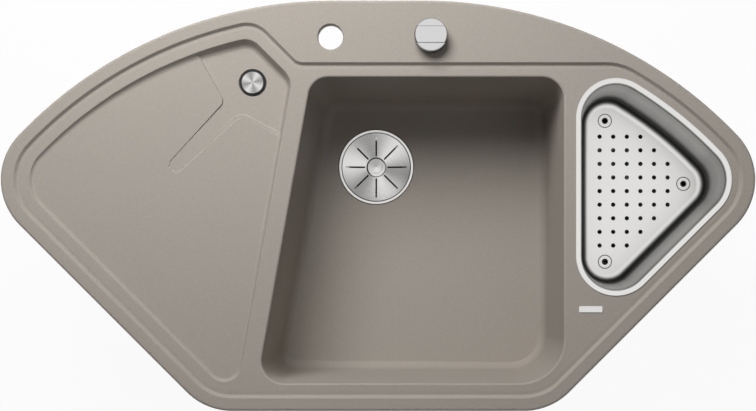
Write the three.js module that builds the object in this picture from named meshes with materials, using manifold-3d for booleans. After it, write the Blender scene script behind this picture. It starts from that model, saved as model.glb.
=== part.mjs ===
// A corner kitchen sink: one moulded composite body with a sloping drainer, a main bowl and a
// small bowl, a steel basket, and the waste, overflow and fixing parts that go with it.
// Millimetres, +Z up, +Y to the rear. The origin is the middle of the rim's outline, on the
// worktop's surface.

import * as THREE from 'three';
import { mergeVertices } from 'three/addons/utils/BufferGeometryUtils.js';
import Module from 'manifold-3d';

const wasm = await Module();
wasm.setup();

// ---------------------------------------------------------------- driving dimensions

const CLEARANCE = 0.3;           // gap between pieces that touch
const PAST = 1;                  // how far a cutter, or a joined end, reaches past a face
const PLAY = 1;                  // round the flanges, in their recesses and holes
const QUARTER = Math.PI / 4;     // the sides run at 45 degrees, across the cabinet's corner

// rim outline
const WIDTH = 1057;
const DEPTH = 575;
const REAR_FLAT_HALF = 63.5;
const TIP_RADIUS = 90;
const FRONT_CORNER_RADIUS = 90;
const SIDE_RUN = 234.1;          // of the 45 degree sides, from one corner's centre to the next

// heights above the worktop
const SEAL_HEIGHT = 1.2;
const RIM_TOP = 9;
const STEP_DROP = 4;
const SKIRT_BOTTOM = -12;
const DECK_THICKNESS = 12;
const WALL = 8;

// rim step, and the edge of the tap deck
const STEP_INSET = 18.2;
const STEP_RUN = 6.3;
const DECK_DEPTH = 87;
const DECK_FRONT = DEPTH / 2 - DECK_DEPTH;
const DECK_FROM_LEFT = 416.5;
const DECK_LEFT = DECK_FROM_LEFT - WIDTH / 2;
const DECK_RIGHT_RADIUS = 80;
const DECK_CORNER_RADIUS = 18;
const STEP_PEAK_RADIUS = 40;

// skirt that hangs in the worktop's cut-out, and the rim's seal
const SKIRT_INSET = 18;
const SEAL_INSET = 2;
const SEAL_WIDTH = 9;

// drainer recess
const DRAINER_INSET = 39.8;
const DRAINER_PEAK_RADIUS = 27;
const DRAINER_TOP_RADIUS = 30;
const DRAINER_BOTTOM_RADIUS = 25;
const DRAINER_WALL_RUN = 1.3;    // run of the recess wall for each mm of drop
const DRAINER_EDGE_DROP = 3.5;
const DRAINER_SLOPE = 0.013;
const TRAY_THICKNESS = 11;
const BRIDGE_WIDTH = 26;         // between the drainer and the main bowl

// overflow pit and its channel, in the drainer
const PIT_FLOOR = -6;
const PIT_CORNERS = [            // from the overflow's axis
  { x: -104.7, y: 87, r: 0 },
  { x: -40, y: -27, r: 11 },
  { x: -117.3, y: -113.3, r: 0 },
  { x: -106.8, y: -124.4, r: 0 },
  { x: -17, y: -46, r: 14 },
  { x: 94.2, y: -106.2, r: 0 },
  { x: 94.2, y: 116, r: 0 },
];

// main bowl
const BOWL_FROM_DECK = 20.2;
const BOWL_FROM_FRONT = 38.7;
const BOWL_FROM_RIGHT = 267.8;
const BOWL_FROM_DECK_CORNER = 18.5;
const BOWL_REAR = DECK_FRONT - BOWL_FROM_DECK;
const BOWL_FRONT = -DEPTH / 2 + BOWL_FROM_FRONT;
const BOWL_RIGHT = WIDTH / 2 - BOWL_FROM_RIGHT;
const BOWL_LEFT_AT_REAR = DECK_LEFT + BOWL_FROM_DECK_CORNER;
const BOWL_LEFT_LEAN = 10 * Math.PI / 180;
const BOWL_DEPTH = 190;
const BOWL_DRAFT = 8;
const BOWL_FILLET = 12;
const BOWL_FILLET_HEIGHT = 18;
const BOWL_FLOOR_SLOPE = 0.01;
const BOWL_RADII = { frontLeft: 31, frontRight: 63, rearRight: 31, rearLeft: 28 };

// small bowl and its steel basket
const BASKET_INSET = 32.9;
const BASKET_FROM_BOWL = 16.6;
const BASKET_LEFT = BOWL_RIGHT + BASKET_FROM_BOWL;
const BASKET_CORNER_RADIUS = 56;
const BASKET_RIM_WIDTH = 8;
const BASKET_SHEET = 1.2;
const BASKET_DEPTH = 88;
const BASKET_DRAFT = 10;
const BASKET_FILLET = 9;
const BASKET_FILLET_HEIGHT = 9;
const LEDGE_WIDTH = 6;           // of the basket's rim on the sink
const SMALL_BOWL_DEPTH = 130;
const SMALL_BOWL_DRAFT = 6;
const SMALL_BOWL_FILLET = 12;
const SMALL_BOWL_FILLET_HEIGHT = 16;

// basket perforations and feet
const HOLE_RADIUS = 3;
const HOLE_PITCH = 20;
const HOLE_FROM_LEFT = 45.7;
const HOLE_FROM_CORNER = 16.2;   // forward of the basket's rear left corner's centre
const HOLE_ROWS = [4, 5, 6, 6, 6, 6, 5, 4, 3];
const FOOT_SHIFT = 7.5;
const FOOT_RADIUS = 9.5;
const FOOT_HEIGHT = 12;
const FOOT_BORE_RADIUS = 3;
const FOOT_NECK_RADIUS = 4.4;
const FOOT_CHAMFER = 1;

// holes in the deck
const HOLES_FROM_REAR = 51.5;
const TAP_FROM_DECK_CORNER = 45.5;
const KNOB_FROM_TAP = 140.5;
const TAP_HOLE = { x: DECK_LEFT + TAP_FROM_DECK_CORNER, y: DEPTH / 2 - HOLES_FROM_REAR };
const KNOB_AXIS = { x: TAP_HOLE.x + KNOB_FROM_TAP, y: TAP_HOLE.y };
const DECK_HOLE_RADIUS = 17.5;
const DECK_PAD_RADIUS = 24.5;    // flat pads round the holes, under the deck
const DECK_PAD_HEIGHT = 1;

// control knob and its housing
const KNOB_RADIUS = 23;
const KNOB_HEIGHT = 17;
const KNOB_CHAMFER = 1;
const GRIP_WIDTH = 22;
const GRIP_DROP = 2.4;
const ESCUTCHEON_RADIUS = 21;
const ESCUTCHEON_HEIGHT = 2.5;
const HOUSING_RADIUS = 16.8;
const HOUSING_DEPTH = 40;
const GEARBOX_RADIUS = 22;
const GEARBOX_HEIGHT = 34;
const SPINDLE_RADIUS = 4;
const SPINDLE_REACH = 10;        // into the gearbox
const KNOB_ROOF = 5;
const HOUSING_NUT_RADIUS = 24;
const HOUSING_NUT_HEIGHT = 8;
const HOUSING_SEAL_RADIUS = 21;
const HOUSING_SEAL_HEIGHT = 2;

// main waste
const WASTE_FROM_LEFT = 84.7;
const WASTE_FROM_REAR = 109.3;
const WASTE = { x: BOWL_LEFT_AT_REAR + WASTE_FROM_LEFT, y: BOWL_REAR - WASTE_FROM_REAR };
const FLANGE_RADIUS = 57.5;
const FLANGE_SHEET = 1.2;
const FLANGE_LIP_INNER = 53.3;
const FLANGE_RECESS = 3;
const FLANGE_LIP_STRAIGHT = 0.5;
const CUP_RADIUS = 41;
const CUP_FLOOR_DROP = 19;
const CUP_OPENING_RADIUS = 33;
const CUP_CONE_DROP = 6;
const CUP_CONE_SHEET = 1.4;      // measured upright
const WASTE_HOLE_RADIUS = 45;
const WASTE_PAD_RADIUS = 62;
const WASTE_PAD_DROP = 14;
const WASTE_SEAL_HEIGHT = 3;
const BRIDGE_BAR = 7;
const BOLT_HEAD_RADIUS = 9;
const BOLT_HEAD_HEIGHT = 3;
const BOLT_RADIUS = 5;
const BOLT_LENGTH = 19;
const HUB_RADIUS = 10;
const HUB_HEIGHT = 12;
const HUB_DROP = 4;
const STEM_RADIUS = 2.8;
const STEM_LENGTH = 34;
const POT_FLANGE_RADIUS = 60;
const POT_FLANGE_HEIGHT = 4;
const POT_RADIUS = 50;
const POT_WALL = 3.5;
const POT_HEIGHT = 52;
const POT_BORE_LEAD = 8;         // of the side bores, inside the pot's wall
const PLATE_RADIUS = 52.7;
const PLATE_SHEET = 1.2;
const PLATE_DISH = 5.3;
const PLATE_RING_RADII = [43, 32];    // where the dish changes its slope
const PLATE_KNOB_RADIUS = 15;
const PLATE_KNOB_HEIGHT = 3.6;
const PLATE_KNOB_EDGE = 1.3;
const PLATE_KNOB_RING = 4;
const PLATE_KNOB_DISH = 1.2;
const SLOT_COUNT = 8;
const SLOT_INNER = 17;
const SLOT_OUTER = 47.5;
const SLOT_WIDTH = 2.6;
const PLUG_RADIUS = 38.5;
const PLUG_HEIGHT = 3;
const PLUG_SEAL_HEIGHT = 3;
const PLUG_SEAL_INNER = 34;
const PLUG_SEAL_OUTER = 39.6;
const PLUG_POST_RADIUS = 8;
const PLUG_POST_FILLET = 3;

// lifter lever in the pot
const LEVER_ARM = 30;
const LEVER_SWING = 8 * Math.PI / 180;    // each way from level
const LEVER_SHAFT_RADIUS = 3;
const LEVER_TIP_RADIUS = 3;
const CRANK_LENGTH = 15;
const CRANK_THICKNESS = 5;
const CRANK_BREADTH = 4;
const CRANK_GAP = 0.5;
const CRANK_SLOT_PLAY = 1;
const GLAND_RADIUS = 8;
const GLAND_LENGTH = 14;

// cable from the control housing to the lever
const SHEATH_RADIUS = 3;
const WIRE_RADIUS = 1.1;
const SHEATH_BORE_RADIUS = 1.6;
const SHEATH_STEPS = 30;
const SHEATH_OVERHANG = 4;       // past the bracket
const SHEATH_LEAD = 12;          // straight under the gearbox
const CABLE_SHARES = [           // of the way from the gearbox to the bracket, in x, y and z
  [0, 0.02, 0.31],
  [0, 0.12, 0.64],
  [0.07, 0.43, 0.91],
  [0.29, 0.84, 1.01],
  [0.59, 0.99, 1],
  [0.83, 1, 1],
];
const BRACKET_THICKNESS = 4;
const BRACKET_BELOW_WIRE = 6;
const BRACKET_ABOVE_POT_BOTTOM = 14;
const BRACKET_PAST_CRANK = 7.5;
const PULL_ROD_REACH = 11;       // into the sheath
const NIPPLE_RADIUS = 3;
const NIPPLE_LENGTH = 4;

// small bowl's waste
const SMALL_WASTE_FROM_LEFT = 67.7;
const SMALL_WASTE = { x: BASKET_LEFT + SMALL_WASTE_FROM_LEFT, y: WASTE.y };
const SMALL_FLANGE_RADIUS = 35;
const SMALL_FLANGE_LIP_INNER = 31;
const SMALL_DISH_DROP = 5.2;
const SMALL_CONE_DROP = 4;
const SMALL_TAIL_INNER = 18;
const SMALL_TAIL_WALL = 2.4;
const SMALL_TAIL_LENGTH = 46;
const SMALL_HOLE_RADIUS = 22;
const SMALL_PAD_RADIUS = 40;
const SMALL_PAD_DROP = 10;
const SMALL_NUT_RADIUS = 32;
const SMALL_NUT_HEIGHT = 8;
const SMALL_STRAINER_RADIUS = 29.5;
const SMALL_STRAINER_HOLES = 6;
const SMALL_STRAINER_HOLE_RADIUS = 2.5;
const SMALL_STRAINER_HOLE_RING = 12.5;
const FINGER_KNOB_FOOT_RADIUS = 5;
const FINGER_KNOB_NECK_RADIUS = 4;
const FINGER_KNOB_RADIUS = 7;
const FINGER_KNOB_TOP = 12;      // above the strainer's underside
const FINGER_KNOB_HEIGHT = 2;

// overflow and drainer outlet
const OVERFLOW_FROM_DECK_CORNER = { x: 65, y: 26.5 };
const OVERFLOW = {
  x: DECK_LEFT - OVERFLOW_FROM_DECK_CORNER.x,
  y: DECK_FRONT - OVERFLOW_FROM_DECK_CORNER.y,
};
const OVERFLOW_SEAT_RADIUS = 19.2;
const OVERFLOW_SEAT_DROP = 3;
const OVERFLOW_HOLE_RADIUS = 14;
const OVERFLOW_PAD_RADIUS = 27;
const OVERFLOW_PAD_BOTTOM = -17;
const OVERFLOW_TAIL_OUTER = 12.5;
const OVERFLOW_TAIL_INNER = 10;
const OVERFLOW_TAIL_BOTTOM = -44;
const OVERFLOW_LIP_HEIGHT = 1.4;
const OVERFLOW_LIP_CHAMFER = 1;
const OVERFLOW_CAP_RADIUS = 15.8;
const OVERFLOW_CAP_HEIGHT = 2.2;
const OVERFLOW_CAP_EDGE = 0.8;
const OVERFLOW_CAP_LIFT = 2.4;
const OVERFLOW_CAP_FEET = 3;
const OVERFLOW_CAP_PAD = 3;
const OVERFLOW_CAP_LEG = { thickness: 1.6, width: 4, length: 10 };
const OVERFLOW_SEAL_HEIGHT = 2.5;
const OVERFLOW_NUT_RADIUS = 22;
const OVERFLOW_NUT_HEIGHT = 7;
const SPIGOT_RADIUS = 9;
const SPIGOT_BORE = 7;
const SPIGOT_LENGTH = 24;
const SPIGOT_NECK = 5;
const SPIGOT_COLLAR_WALL = 2.5;
const SPIGOT_COLLAR_LAP = 12;
const HOSE_BORE_RADIUS = 10.2;
const HOSE_VALLEY_RADIUS = 11.6;
const HOSE_CREST_RADIUS = 13.3;
const HOSE_RIBS = 34;
const HOSE_SIDES = 8;
const HOSE_BORE_STRIDE = 10;
const HOSE_BEND = 60;
const HOSE_KNEE = 30;
const HOSE_STRAIGHT = 12;
const HOSE_CLAMP_RADIUS = 15.6;
const HOSE_CLAMP_WIDTH = 8;
const HOSE_CLAMP_INSET = 5;
const PORT_DROP = 21;            // from the pot's flange to the port's axis
const PORT_LENGTH = 30;

// waste pipes
const PIPE_RADIUS = 20;
const PIPE_WALL = 2.2;
const PIPE_DROP = 29;            // from the pot's flange to the pipe's axis
const SPOUT_LENGTH = 54;
const PIPE_BEND = 46;
const TEE_RADIUS = 23.4;
const TEE_SOCKET = 36;
const TEE_OUTLET_LENGTH = 62;
const PIPE_END_GAP = 4;          // between a pipe's end and the tee's outlet
const SLIP_NUT_RADIUS = 29;
const SLIP_NUT_LENGTH = 16;
const SLIP_NUT_FACE = 2.5;
const UNION_NUT_WALL = 6;
const CONE_SEAL_LENGTH = 5;

// clips under the rim
const CLIP_INSET = 28;
const CLIP_BOSS_RADIUS = 7;
const CLIP_BOSS_BOTTOM = -20;
const CLIP_SCREW_RADIUS = 2.5;
const CLIP_SCREW_TIP = 1;
const CLIP_HOLE_ROOF = 1;
const CLIP_HEAD_RADIUS = 5;
const CLIP_HEAD_HEIGHT = 4;
const CLIP_ARM_TOP = -45;
const CLIP_ARM_THICKNESS = 2.5;
const CLIP_ARM_WIDTH = 14;
const CLIP_ARM_LENGTH = 28;
const CLIP_HEEL = 4.5;
const CLIP_TOOTH_HEIGHT = 4.5;
const CLIP_FRONT_X = [-60, 150];
const CLIP_SIDE_RUN = 160;
const CLIP_REAR_ANGLE = 62 * Math.PI / 180;

// name plate
const BADGE = { length: 33, width: 9, thickness: 0.8, radius: 1.5 };
const BADGE_FROM_BASKET = { x: 20.6, y: 18.8 };   // from the basket's left and front

// facet counts and tolerances
const MERGE_TOLERANCE = 1e-4;
const SHORTEST_EDGE = 0.01;
const ARC_SAG = 0.6;             // how far a facet may lie inside its arc
const ROUND = 24;
const SMALL_ROUND = 16;
const TINY_ROUND = 8;
const HOLE_SIDES = 6;
const FILLET_FACETS = 2;
const PIPE_SIDES = 14;
const PIPE_STEPS = 13;
const SHEATH_SIDES = 8;

// ---------------------------------------------------------------- heights worked out

const PLATEAU = RIM_TOP - STEP_DROP;
const PLATE_BOTTOM = RIM_TOP - DECK_THICKNESS;
const DECK_PAD_BOTTOM = PLATE_BOTTOM - DECK_PAD_HEIGHT;
const RIM_BOTTOM = SEAL_HEIGHT + CLEARANCE;
const BOWL_FLOOR = RIM_TOP - BOWL_DEPTH;
const SMALL_BOWL_FLOOR = RIM_TOP - SMALL_BOWL_DEPTH;
const HIGH = 60;                 // how far cutters reach above the sink
const WASTE_PAD_BOTTOM = BOWL_FLOOR - WASTE_PAD_DROP;
const SMALL_PAD_BOTTOM = SMALL_BOWL_FLOOR - SMALL_PAD_DROP;
const LIP_TOP = BOWL_FLOOR;
const CUP_FLOOR = LIP_TOP - CUP_FLOOR_DROP;
const POT_TOP = WASTE_PAD_BOTTOM - WASTE_SEAL_HEIGHT - 2 * CLEARANCE;
const POT_BOTTOM = POT_TOP - POT_HEIGHT;
const PIPE_Z = POT_TOP - PIPE_DROP;
const PORT_Z = POT_TOP - PORT_DROP;
const PLUG_SEAL_TOP = CUP_FLOOR + CLEARANCE + PLUG_SEAL_HEIGHT;
const PLUG_BOTTOM = PLUG_SEAL_TOP + CLEARANCE;
const STEM_TOP = PLUG_BOTTOM - CLEARANCE;
const STEM_BOTTOM = STEM_TOP - STEM_LENGTH;
const LEVER_Z = STEM_BOTTOM - CLEARANCE - LEVER_TIP_RADIUS + LEVER_ARM * Math.sin(LEVER_SWING);

// ---------------------------------------------------------------- solids and meshes

function toSolid(geometry) {
  const bare = geometry.clone();
  bare.deleteAttribute('normal');
  bare.deleteAttribute('uv');
  const merged = mergeVertices(bare, MERGE_TOLERANCE);
  return new wasm.Manifold(new wasm.Mesh({
    numProp: 3,
    vertProperties: new Float32Array(merged.attributes.position.array),
    triVerts: new Uint32Array(merged.index.array),
  }));
}

function toGeometry(solid) {
  const mesh = solid.getMesh();
  const geometry = new THREE.BufferGeometry();
  geometry.setAttribute('position', new THREE.BufferAttribute(mesh.vertProperties, 3));
  geometry.setIndex(new THREE.BufferAttribute(mesh.triVerts, 1));
  geometry.computeVertexNormals();
  return geometry;
}

function join(...geometries) {
  return geometries.map(toSolid).reduce((whole, next) => whole.add(next));
}

// ---------------------------------------------------------------- outlines

function arcStep(radius) {
  return 2 * Math.acos(1 - ARC_SAG / Math.max(Math.abs(radius), 4 * ARC_SAG));
}

// An outline is a belt round circles, run anticlockwise. A circle with a negative radius is
// passed on its far side, which makes a hollow corner, and a radius of 0 is a sharp corner.
function belt(circles) {
  const count = circles.length;
  const headings = circles.map((from, i) => {
    const to = circles[(i + 1) % count];
    const dx = to.x - from.x;
    const dy = to.y - from.y;
    const lean = (to.r - from.r) / Math.hypot(dx, dy);
    return Math.atan2(dy, dx) - Math.asin(THREE.MathUtils.clamp(lean, -1, 1));
  });
  const points = [];
  circles.forEach((circle, i) => {
    const start = headings[(i + count - 1) % count];
    const full = 2 * Math.PI;
    let turn = ((headings[i] - start) % full + full) % full;
    if (turn > Math.PI) turn -= full;
    const parts = circle.r === 0 ? 0 : Math.ceil(Math.abs(turn) / arcStep(circle.r));
    for (let part = 0; part <= parts; part += 1) {
      const heading = start + turn * (parts ? part / parts : 0);
      points.push(new THREE.Vector2(
        circle.x + circle.r * Math.sin(heading),
        circle.y - circle.r * Math.cos(heading),
      ));
    }
  });
  return points.filter((point, i) => (
    point.distanceTo(points[(i + 1) % points.length]) > SHORTEST_EDGE
  ));
}

function inset(circles, distance) {
  return circles.map(({ x, y, r }) => ({ x, y, r: r - distance }));
}

// The circle of each corner of a polygon that is run anticlockwise.
function roundedPolygon(corners) {
  return corners.map((corner, i) => {
    const before = corners[(i + corners.length - 1) % corners.length];
    const after = corners[(i + 1) % corners.length];
    const inX = corner.x - before.x;
    const inY = corner.y - before.y;
    const outX = after.x - corner.x;
    const outY = after.y - corner.y;
    const inAngle = Math.atan2(inY, inX);
    const turn = Math.atan2(inX * outY - inY * outX, inX * outX + inY * outY);
    const radius = corner.r * Math.sign(turn);
    const back = corner.r * Math.tan(Math.abs(turn) / 2);
    return {
      x: corner.x - back * Math.cos(inAngle) - radius * Math.sin(inAngle),
      y: corner.y - back * Math.sin(inAngle) + radius * Math.cos(inAngle),
      r: radius,
    };
  });
}

// The circle of radius r inside a big circle and to the left of a straight line that starts
// at a point and runs at a heading. side is 1 for the far meeting and -1 for the near one.
function cornerInArc(big, start, heading, r, side) {
  const x0 = start.x - r * Math.sin(heading) - big.x;
  const y0 = start.y + r * Math.cos(heading) - big.y;
  const along = x0 * Math.cos(heading) + y0 * Math.sin(heading);
  const reach = big.r - r;
  const t = -along + side * Math.sqrt(along * along - x0 * x0 - y0 * y0 + reach * reach);
  return {
    x: big.x + x0 + t * Math.cos(heading),
    y: big.y + y0 + t * Math.sin(heading),
    r,
  };
}

const TIP_X = WIDTH / 2 - TIP_RADIUS;
const FRONT_CENTRE_Y = -DEPTH / 2 + FRONT_CORNER_RADIUS;
const TIP_Y = FRONT_CENTRE_Y + SIDE_RUN;
const FRONT_X = TIP_X - SIDE_RUN + (TIP_RADIUS - FRONT_CORNER_RADIUS) * Math.SQRT2;

// The rear arcs touch the rear edge's straight middle and the tips' circles.
const REAR_ACROSS = TIP_X - REAR_FLAT_HALF;
const REAR_DOWN = DEPTH / 2 - TIP_Y;
const REAR_RADIUS = (REAR_ACROSS ** 2 + REAR_DOWN ** 2 - TIP_RADIUS ** 2)
  / (2 * (REAR_DOWN - TIP_RADIUS));
const REAR_CENTRE_Y = DEPTH / 2 - REAR_RADIUS;

const RIM = {
  frontLeft: { x: -FRONT_X, y: FRONT_CENTRE_Y, r: FRONT_CORNER_RADIUS },
  frontRight: { x: FRONT_X, y: FRONT_CENTRE_Y, r: FRONT_CORNER_RADIUS },
  tipRight: { x: TIP_X, y: TIP_Y, r: TIP_RADIUS },
  rearRight: { x: REAR_FLAT_HALF, y: REAR_CENTRE_Y, r: REAR_RADIUS },
  rearLeft: { x: -REAR_FLAT_HALF, y: REAR_CENTRE_Y, r: REAR_RADIUS },
  tipLeft: { x: -TIP_X, y: TIP_Y, r: TIP_RADIUS },
};
const RIM_CIRCLES = Object.values(RIM);

function insetRim(name, distance) {
  return inset([RIM[name]], distance)[0];
}

// The upper edge of the rim step: it follows the rim and leaves it for the tap deck.
function stepCircles() {
  const rearLeft = insetRim('rearLeft', STEP_INSET);
  const rearRight = insetRim('rearRight', STEP_INSET);
  const deckCorner = { x: DECK_LEFT, y: DECK_FRONT };
  return [
    insetRim('frontLeft', STEP_INSET),
    insetRim('frontRight', STEP_INSET),
    insetRim('tipRight', STEP_INSET),
    rearRight,
    cornerInArc(rearRight, deckCorner, Math.PI, DECK_RIGHT_RADIUS, -1),
    {
      x: DECK_LEFT + DECK_CORNER_RADIUS * Math.tan(QUARTER / 2),
      y: DECK_FRONT + DECK_CORNER_RADIUS,
      r: -DECK_CORNER_RADIUS,
    },
    cornerInArc(rearLeft, deckCorner, 3 * QUARTER, STEP_PEAK_RADIUS, 1),
    rearLeft,
    insetRim('tipLeft', STEP_INSET),
  ];
}

function bowlLeftAt(y) {
  return BOWL_LEFT_AT_REAR + (y - BOWL_REAR) * Math.tan(BOWL_LEFT_LEAN);
}

// The upper edge of the drainer's recess.
function drainerCircles() {
  const band = DRAINER_INSET - STEP_INSET;
  const rearLeft = insetRim('rearLeft', DRAINER_INSET);
  const diagonal = {
    x: DECK_LEFT - band * Math.SQRT1_2,
    y: DECK_FRONT - band * Math.SQRT1_2,
  };
  const sideShift = BRIDGE_WIDTH / Math.cos(BOWL_LEFT_LEAN);
  const sideAt = (y) => bowlLeftAt(y) - sideShift;
  const sideBottom = { x: sideAt(BOWL_FRONT), y: BOWL_FRONT };
  const tip = insetRim('tipLeft', DRAINER_INSET);
  const slantX = tip.x - tip.r * Math.SQRT1_2;
  const slantY = tip.y - tip.r * Math.SQRT1_2;
  const meetBottom = meeting(sideBottom, Math.PI / 2 - BOWL_LEFT_LEAN,
    { x: slantX, y: slantY }, -QUARTER);
  const meetTop = meeting(sideBottom, Math.PI / 2 - BOWL_LEFT_LEAN, diagonal, 3 * QUARTER);
  const peak = cornerInArc(rearLeft, diagonal, 3 * QUARTER, DRAINER_PEAK_RADIUS, 1);
  const [bottom, top] = roundedPolygon([
    { ...meetBottom, r: DRAINER_BOTTOM_RADIUS },
    { ...meetTop, r: DRAINER_TOP_RADIUS },
    { x: peak.x, y: meetTop.y + meetTop.x - peak.x, r: 0 },
    { x: slantX, y: slantY, r: 0 },
  ]);
  return [bottom, top, peak, rearLeft, tip];
}

// Where two straight lines meet, each given by a point and a heading.
function meeting(a, headingA, b, headingB) {
  const cross = Math.sin(headingB - headingA);
  const t = ((b.x - a.x) * Math.sin(headingB) - (b.y - a.y) * Math.cos(headingB)) / cross;
  return { x: a.x + t * Math.cos(headingA), y: a.y + t * Math.sin(headingA) };
}

function bowlCircles() {
  return roundedPolygon([
    { x: bowlLeftAt(BOWL_FRONT), y: BOWL_FRONT, r: BOWL_RADII.frontLeft },
    { x: BOWL_RIGHT, y: BOWL_FRONT, r: BOWL_RADII.frontRight },
    { x: BOWL_RIGHT, y: BOWL_REAR, r: BOWL_RADII.rearRight },
    { x: BOWL_LEFT_AT_REAR, y: BOWL_REAR, r: BOWL_RADII.rearLeft },
  ]);
}

// The outer edge of the basket's rim: a straight left side and two sides along the sink's rim.
function basketCircles() {
  const tip = insetRim('tipRight', BASKET_INSET);
  const rear = insetRim('rearRight', BASKET_INSET);
  const x = BASKET_LEFT + BASKET_CORNER_RADIUS;
  const spread = (tip.r - BASKET_CORNER_RADIUS) * Math.SQRT2;
  const reach = rear.r - BASKET_CORNER_RADIUS;
  return [
    { x, y: tip.y + x - tip.x - spread, r: BASKET_CORNER_RADIUS },
    tip,
    rear,
    { x, y: rear.y + Math.sqrt(reach ** 2 - (x - rear.x) ** 2), r: BASKET_CORNER_RADIUS },
  ];
}

// ---------------------------------------------------------------- shapes

function prism(circles, bottom, top) {
  const geometry = new THREE.ExtrudeGeometry(new THREE.Shape(belt(circles)), {
    depth: top - bottom,
    bevelEnabled: false,
  });
  return geometry.translate(0, 0, bottom);
}

// A form whose wall widens from a floor outline by run up to the mouth, straight with one
// facet and rounded with more, and stands upright from the mouth to the top.
function flared(circles, floor, mouth, top, run, facets) {
  const geometry = new THREE.ExtrudeGeometry(new THREE.Shape(belt(inset(circles, run))), {
    depth: top - mouth,
    bevelEnabled: true,
    bevelThickness: mouth - floor,
    bevelSize: run,
    bevelSegments: facets,
  });
  geometry.translate(0, 0, mouth);
  return toSolid(geometry).intersect(toSolid(slab(floor - PAST, top)));
}

function slab(bottom, top) {
  return box(3 * WIDTH, 3 * WIDTH, top - bottom, 0, 0, (top + bottom) / 2);
}

function box(length, width, height, x, y, z) {
  return new THREE.BoxGeometry(length, width, height).translate(x, y, z);
}

// A bowl's form: a rounded floor edge, then a drafted wall up to the mouth, then upright.
// grow makes the shell's outer form from the same sizes.
function bowlForm(circles, size, grow, top) {
  const floor = size.floor - grow;
  const filletTop = size.floor + size.filletHeight;
  const lower = flared(inset(circles, size.draft - grow), floor, filletTop, filletTop + PAST,
    size.fillet, FILLET_FACETS);
  const upper = flared(inset(circles, -grow), filletTop, size.mouth, top, size.draft, 1);
  return lower.add(upper);
}

const BOWL_SIZE = {
  floor: BOWL_FLOOR,
  mouth: PLATEAU,
  draft: BOWL_DRAFT,
  fillet: BOWL_FILLET,
  filletHeight: BOWL_FILLET_HEIGHT,
};
const SMALL_BOWL_SIZE = {
  floor: SMALL_BOWL_FLOOR,
  mouth: PLATEAU,
  draft: SMALL_BOWL_DRAFT,
  fillet: SMALL_BOWL_FILLET,
  filletHeight: SMALL_BOWL_FILLET_HEIGHT,
};

// The space above a plane that passes a point and rises along a heading.
function above(point, rise, heading) {
  const reach = 4 * WIDTH;
  const block = new THREE.BoxGeometry(reach, reach, reach);
  block.translate(0, 0, reach / 2);
  block.rotateY(-Math.atan(rise));
  block.rotateZ(heading);
  block.translate(point.x, point.y, point.z);
  return toSolid(block);
}

// The radius of a faceted bore whose flats clear a round piece of the radius given.
function bore(radius, sides) {
  return radius / Math.cos(Math.PI / sides);
}

function cylinder(radius, bottom, top, centre, sides = ROUND) {
  const geometry = new THREE.CylinderGeometry(radius, radius, top - bottom, sides);
  geometry.rotateX(Math.PI / 2);
  return geometry.translate(centre.x, centre.y, (top + bottom) / 2);
}

// A turned piece: profile points are [radius, height].
function turned(profile, centre, sides = ROUND) {
  const points = profile.map(([radius, height]) => new THREE.Vector2(radius, height));
  const geometry = new THREE.LatheGeometry(points, sides);
  geometry.rotateX(Math.PI / 2);
  return geometry.translate(centre.x, centre.y, 0);
}

function ring(hole, outer, bottom, top, centre, sides = ROUND) {
  const inner = bore(hole, sides);
  return turned([
    [inner, bottom], [outer, bottom], [outer, top], [inner, top], [inner, bottom],
  ], centre, sides);
}

// A ring whose axis lies along X, from one x to another.
function ringAlongX(inner, outer, from, to, y, z, sides = SMALL_ROUND) {
  const geometry = ring(inner, outer, from, to, { x: 0, y: 0 }, sides);
  geometry.rotateY(Math.PI / 2);
  return geometry.translate(0, y, z);
}

function cylinderAlongX(radius, from, to, y, z, sides = SMALL_ROUND) {
  const geometry = cylinder(radius, from, to, { x: 0, y: 0 }, sides);
  geometry.rotateY(Math.PI / 2);
  return geometry.translate(0, y, z);
}

function cylinderAlongY(radius, from, to, x, z, sides = SMALL_ROUND) {
  const geometry = new THREE.CylinderGeometry(radius, radius, to - from, sides);
  return geometry.translate(x, (from + to) / 2, z);
}

function circleHole(radius, sides) {
  const path = new THREE.Path();
  path.setFromPoints(Array.from({ length: sides }, (_, i) => {
    const angle = 2 * Math.PI * i / sides;
    return new THREE.Vector2(radius * Math.cos(angle), radius * Math.sin(angle));
  }));
  return path;
}

// A tube along a curve.
function tube(curve, radius, boreRadius, sides, steps) {
  const section = new THREE.Shape(circleHole(radius, sides).getPoints());
  section.holes.push(circleHole(boreRadius, sides));
  return new THREE.ExtrudeGeometry(section, { steps, extrudePath: curve, bevelEnabled: false });
}

// ---------------------------------------------------------------- sink body

function drainerPlane(x, y) {
  const edge = insetRim('tipLeft', DRAINER_INSET);
  const edgeX = edge.x - edge.r * Math.SQRT1_2;
  const edgeY = edge.y - edge.r * Math.SQRT1_2;
  const across = ((x - edgeX) + (y - edgeY)) * Math.SQRT1_2;
  return PLATEAU - DRAINER_EDGE_DROP - across * DRAINER_SLOPE;
}

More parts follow.
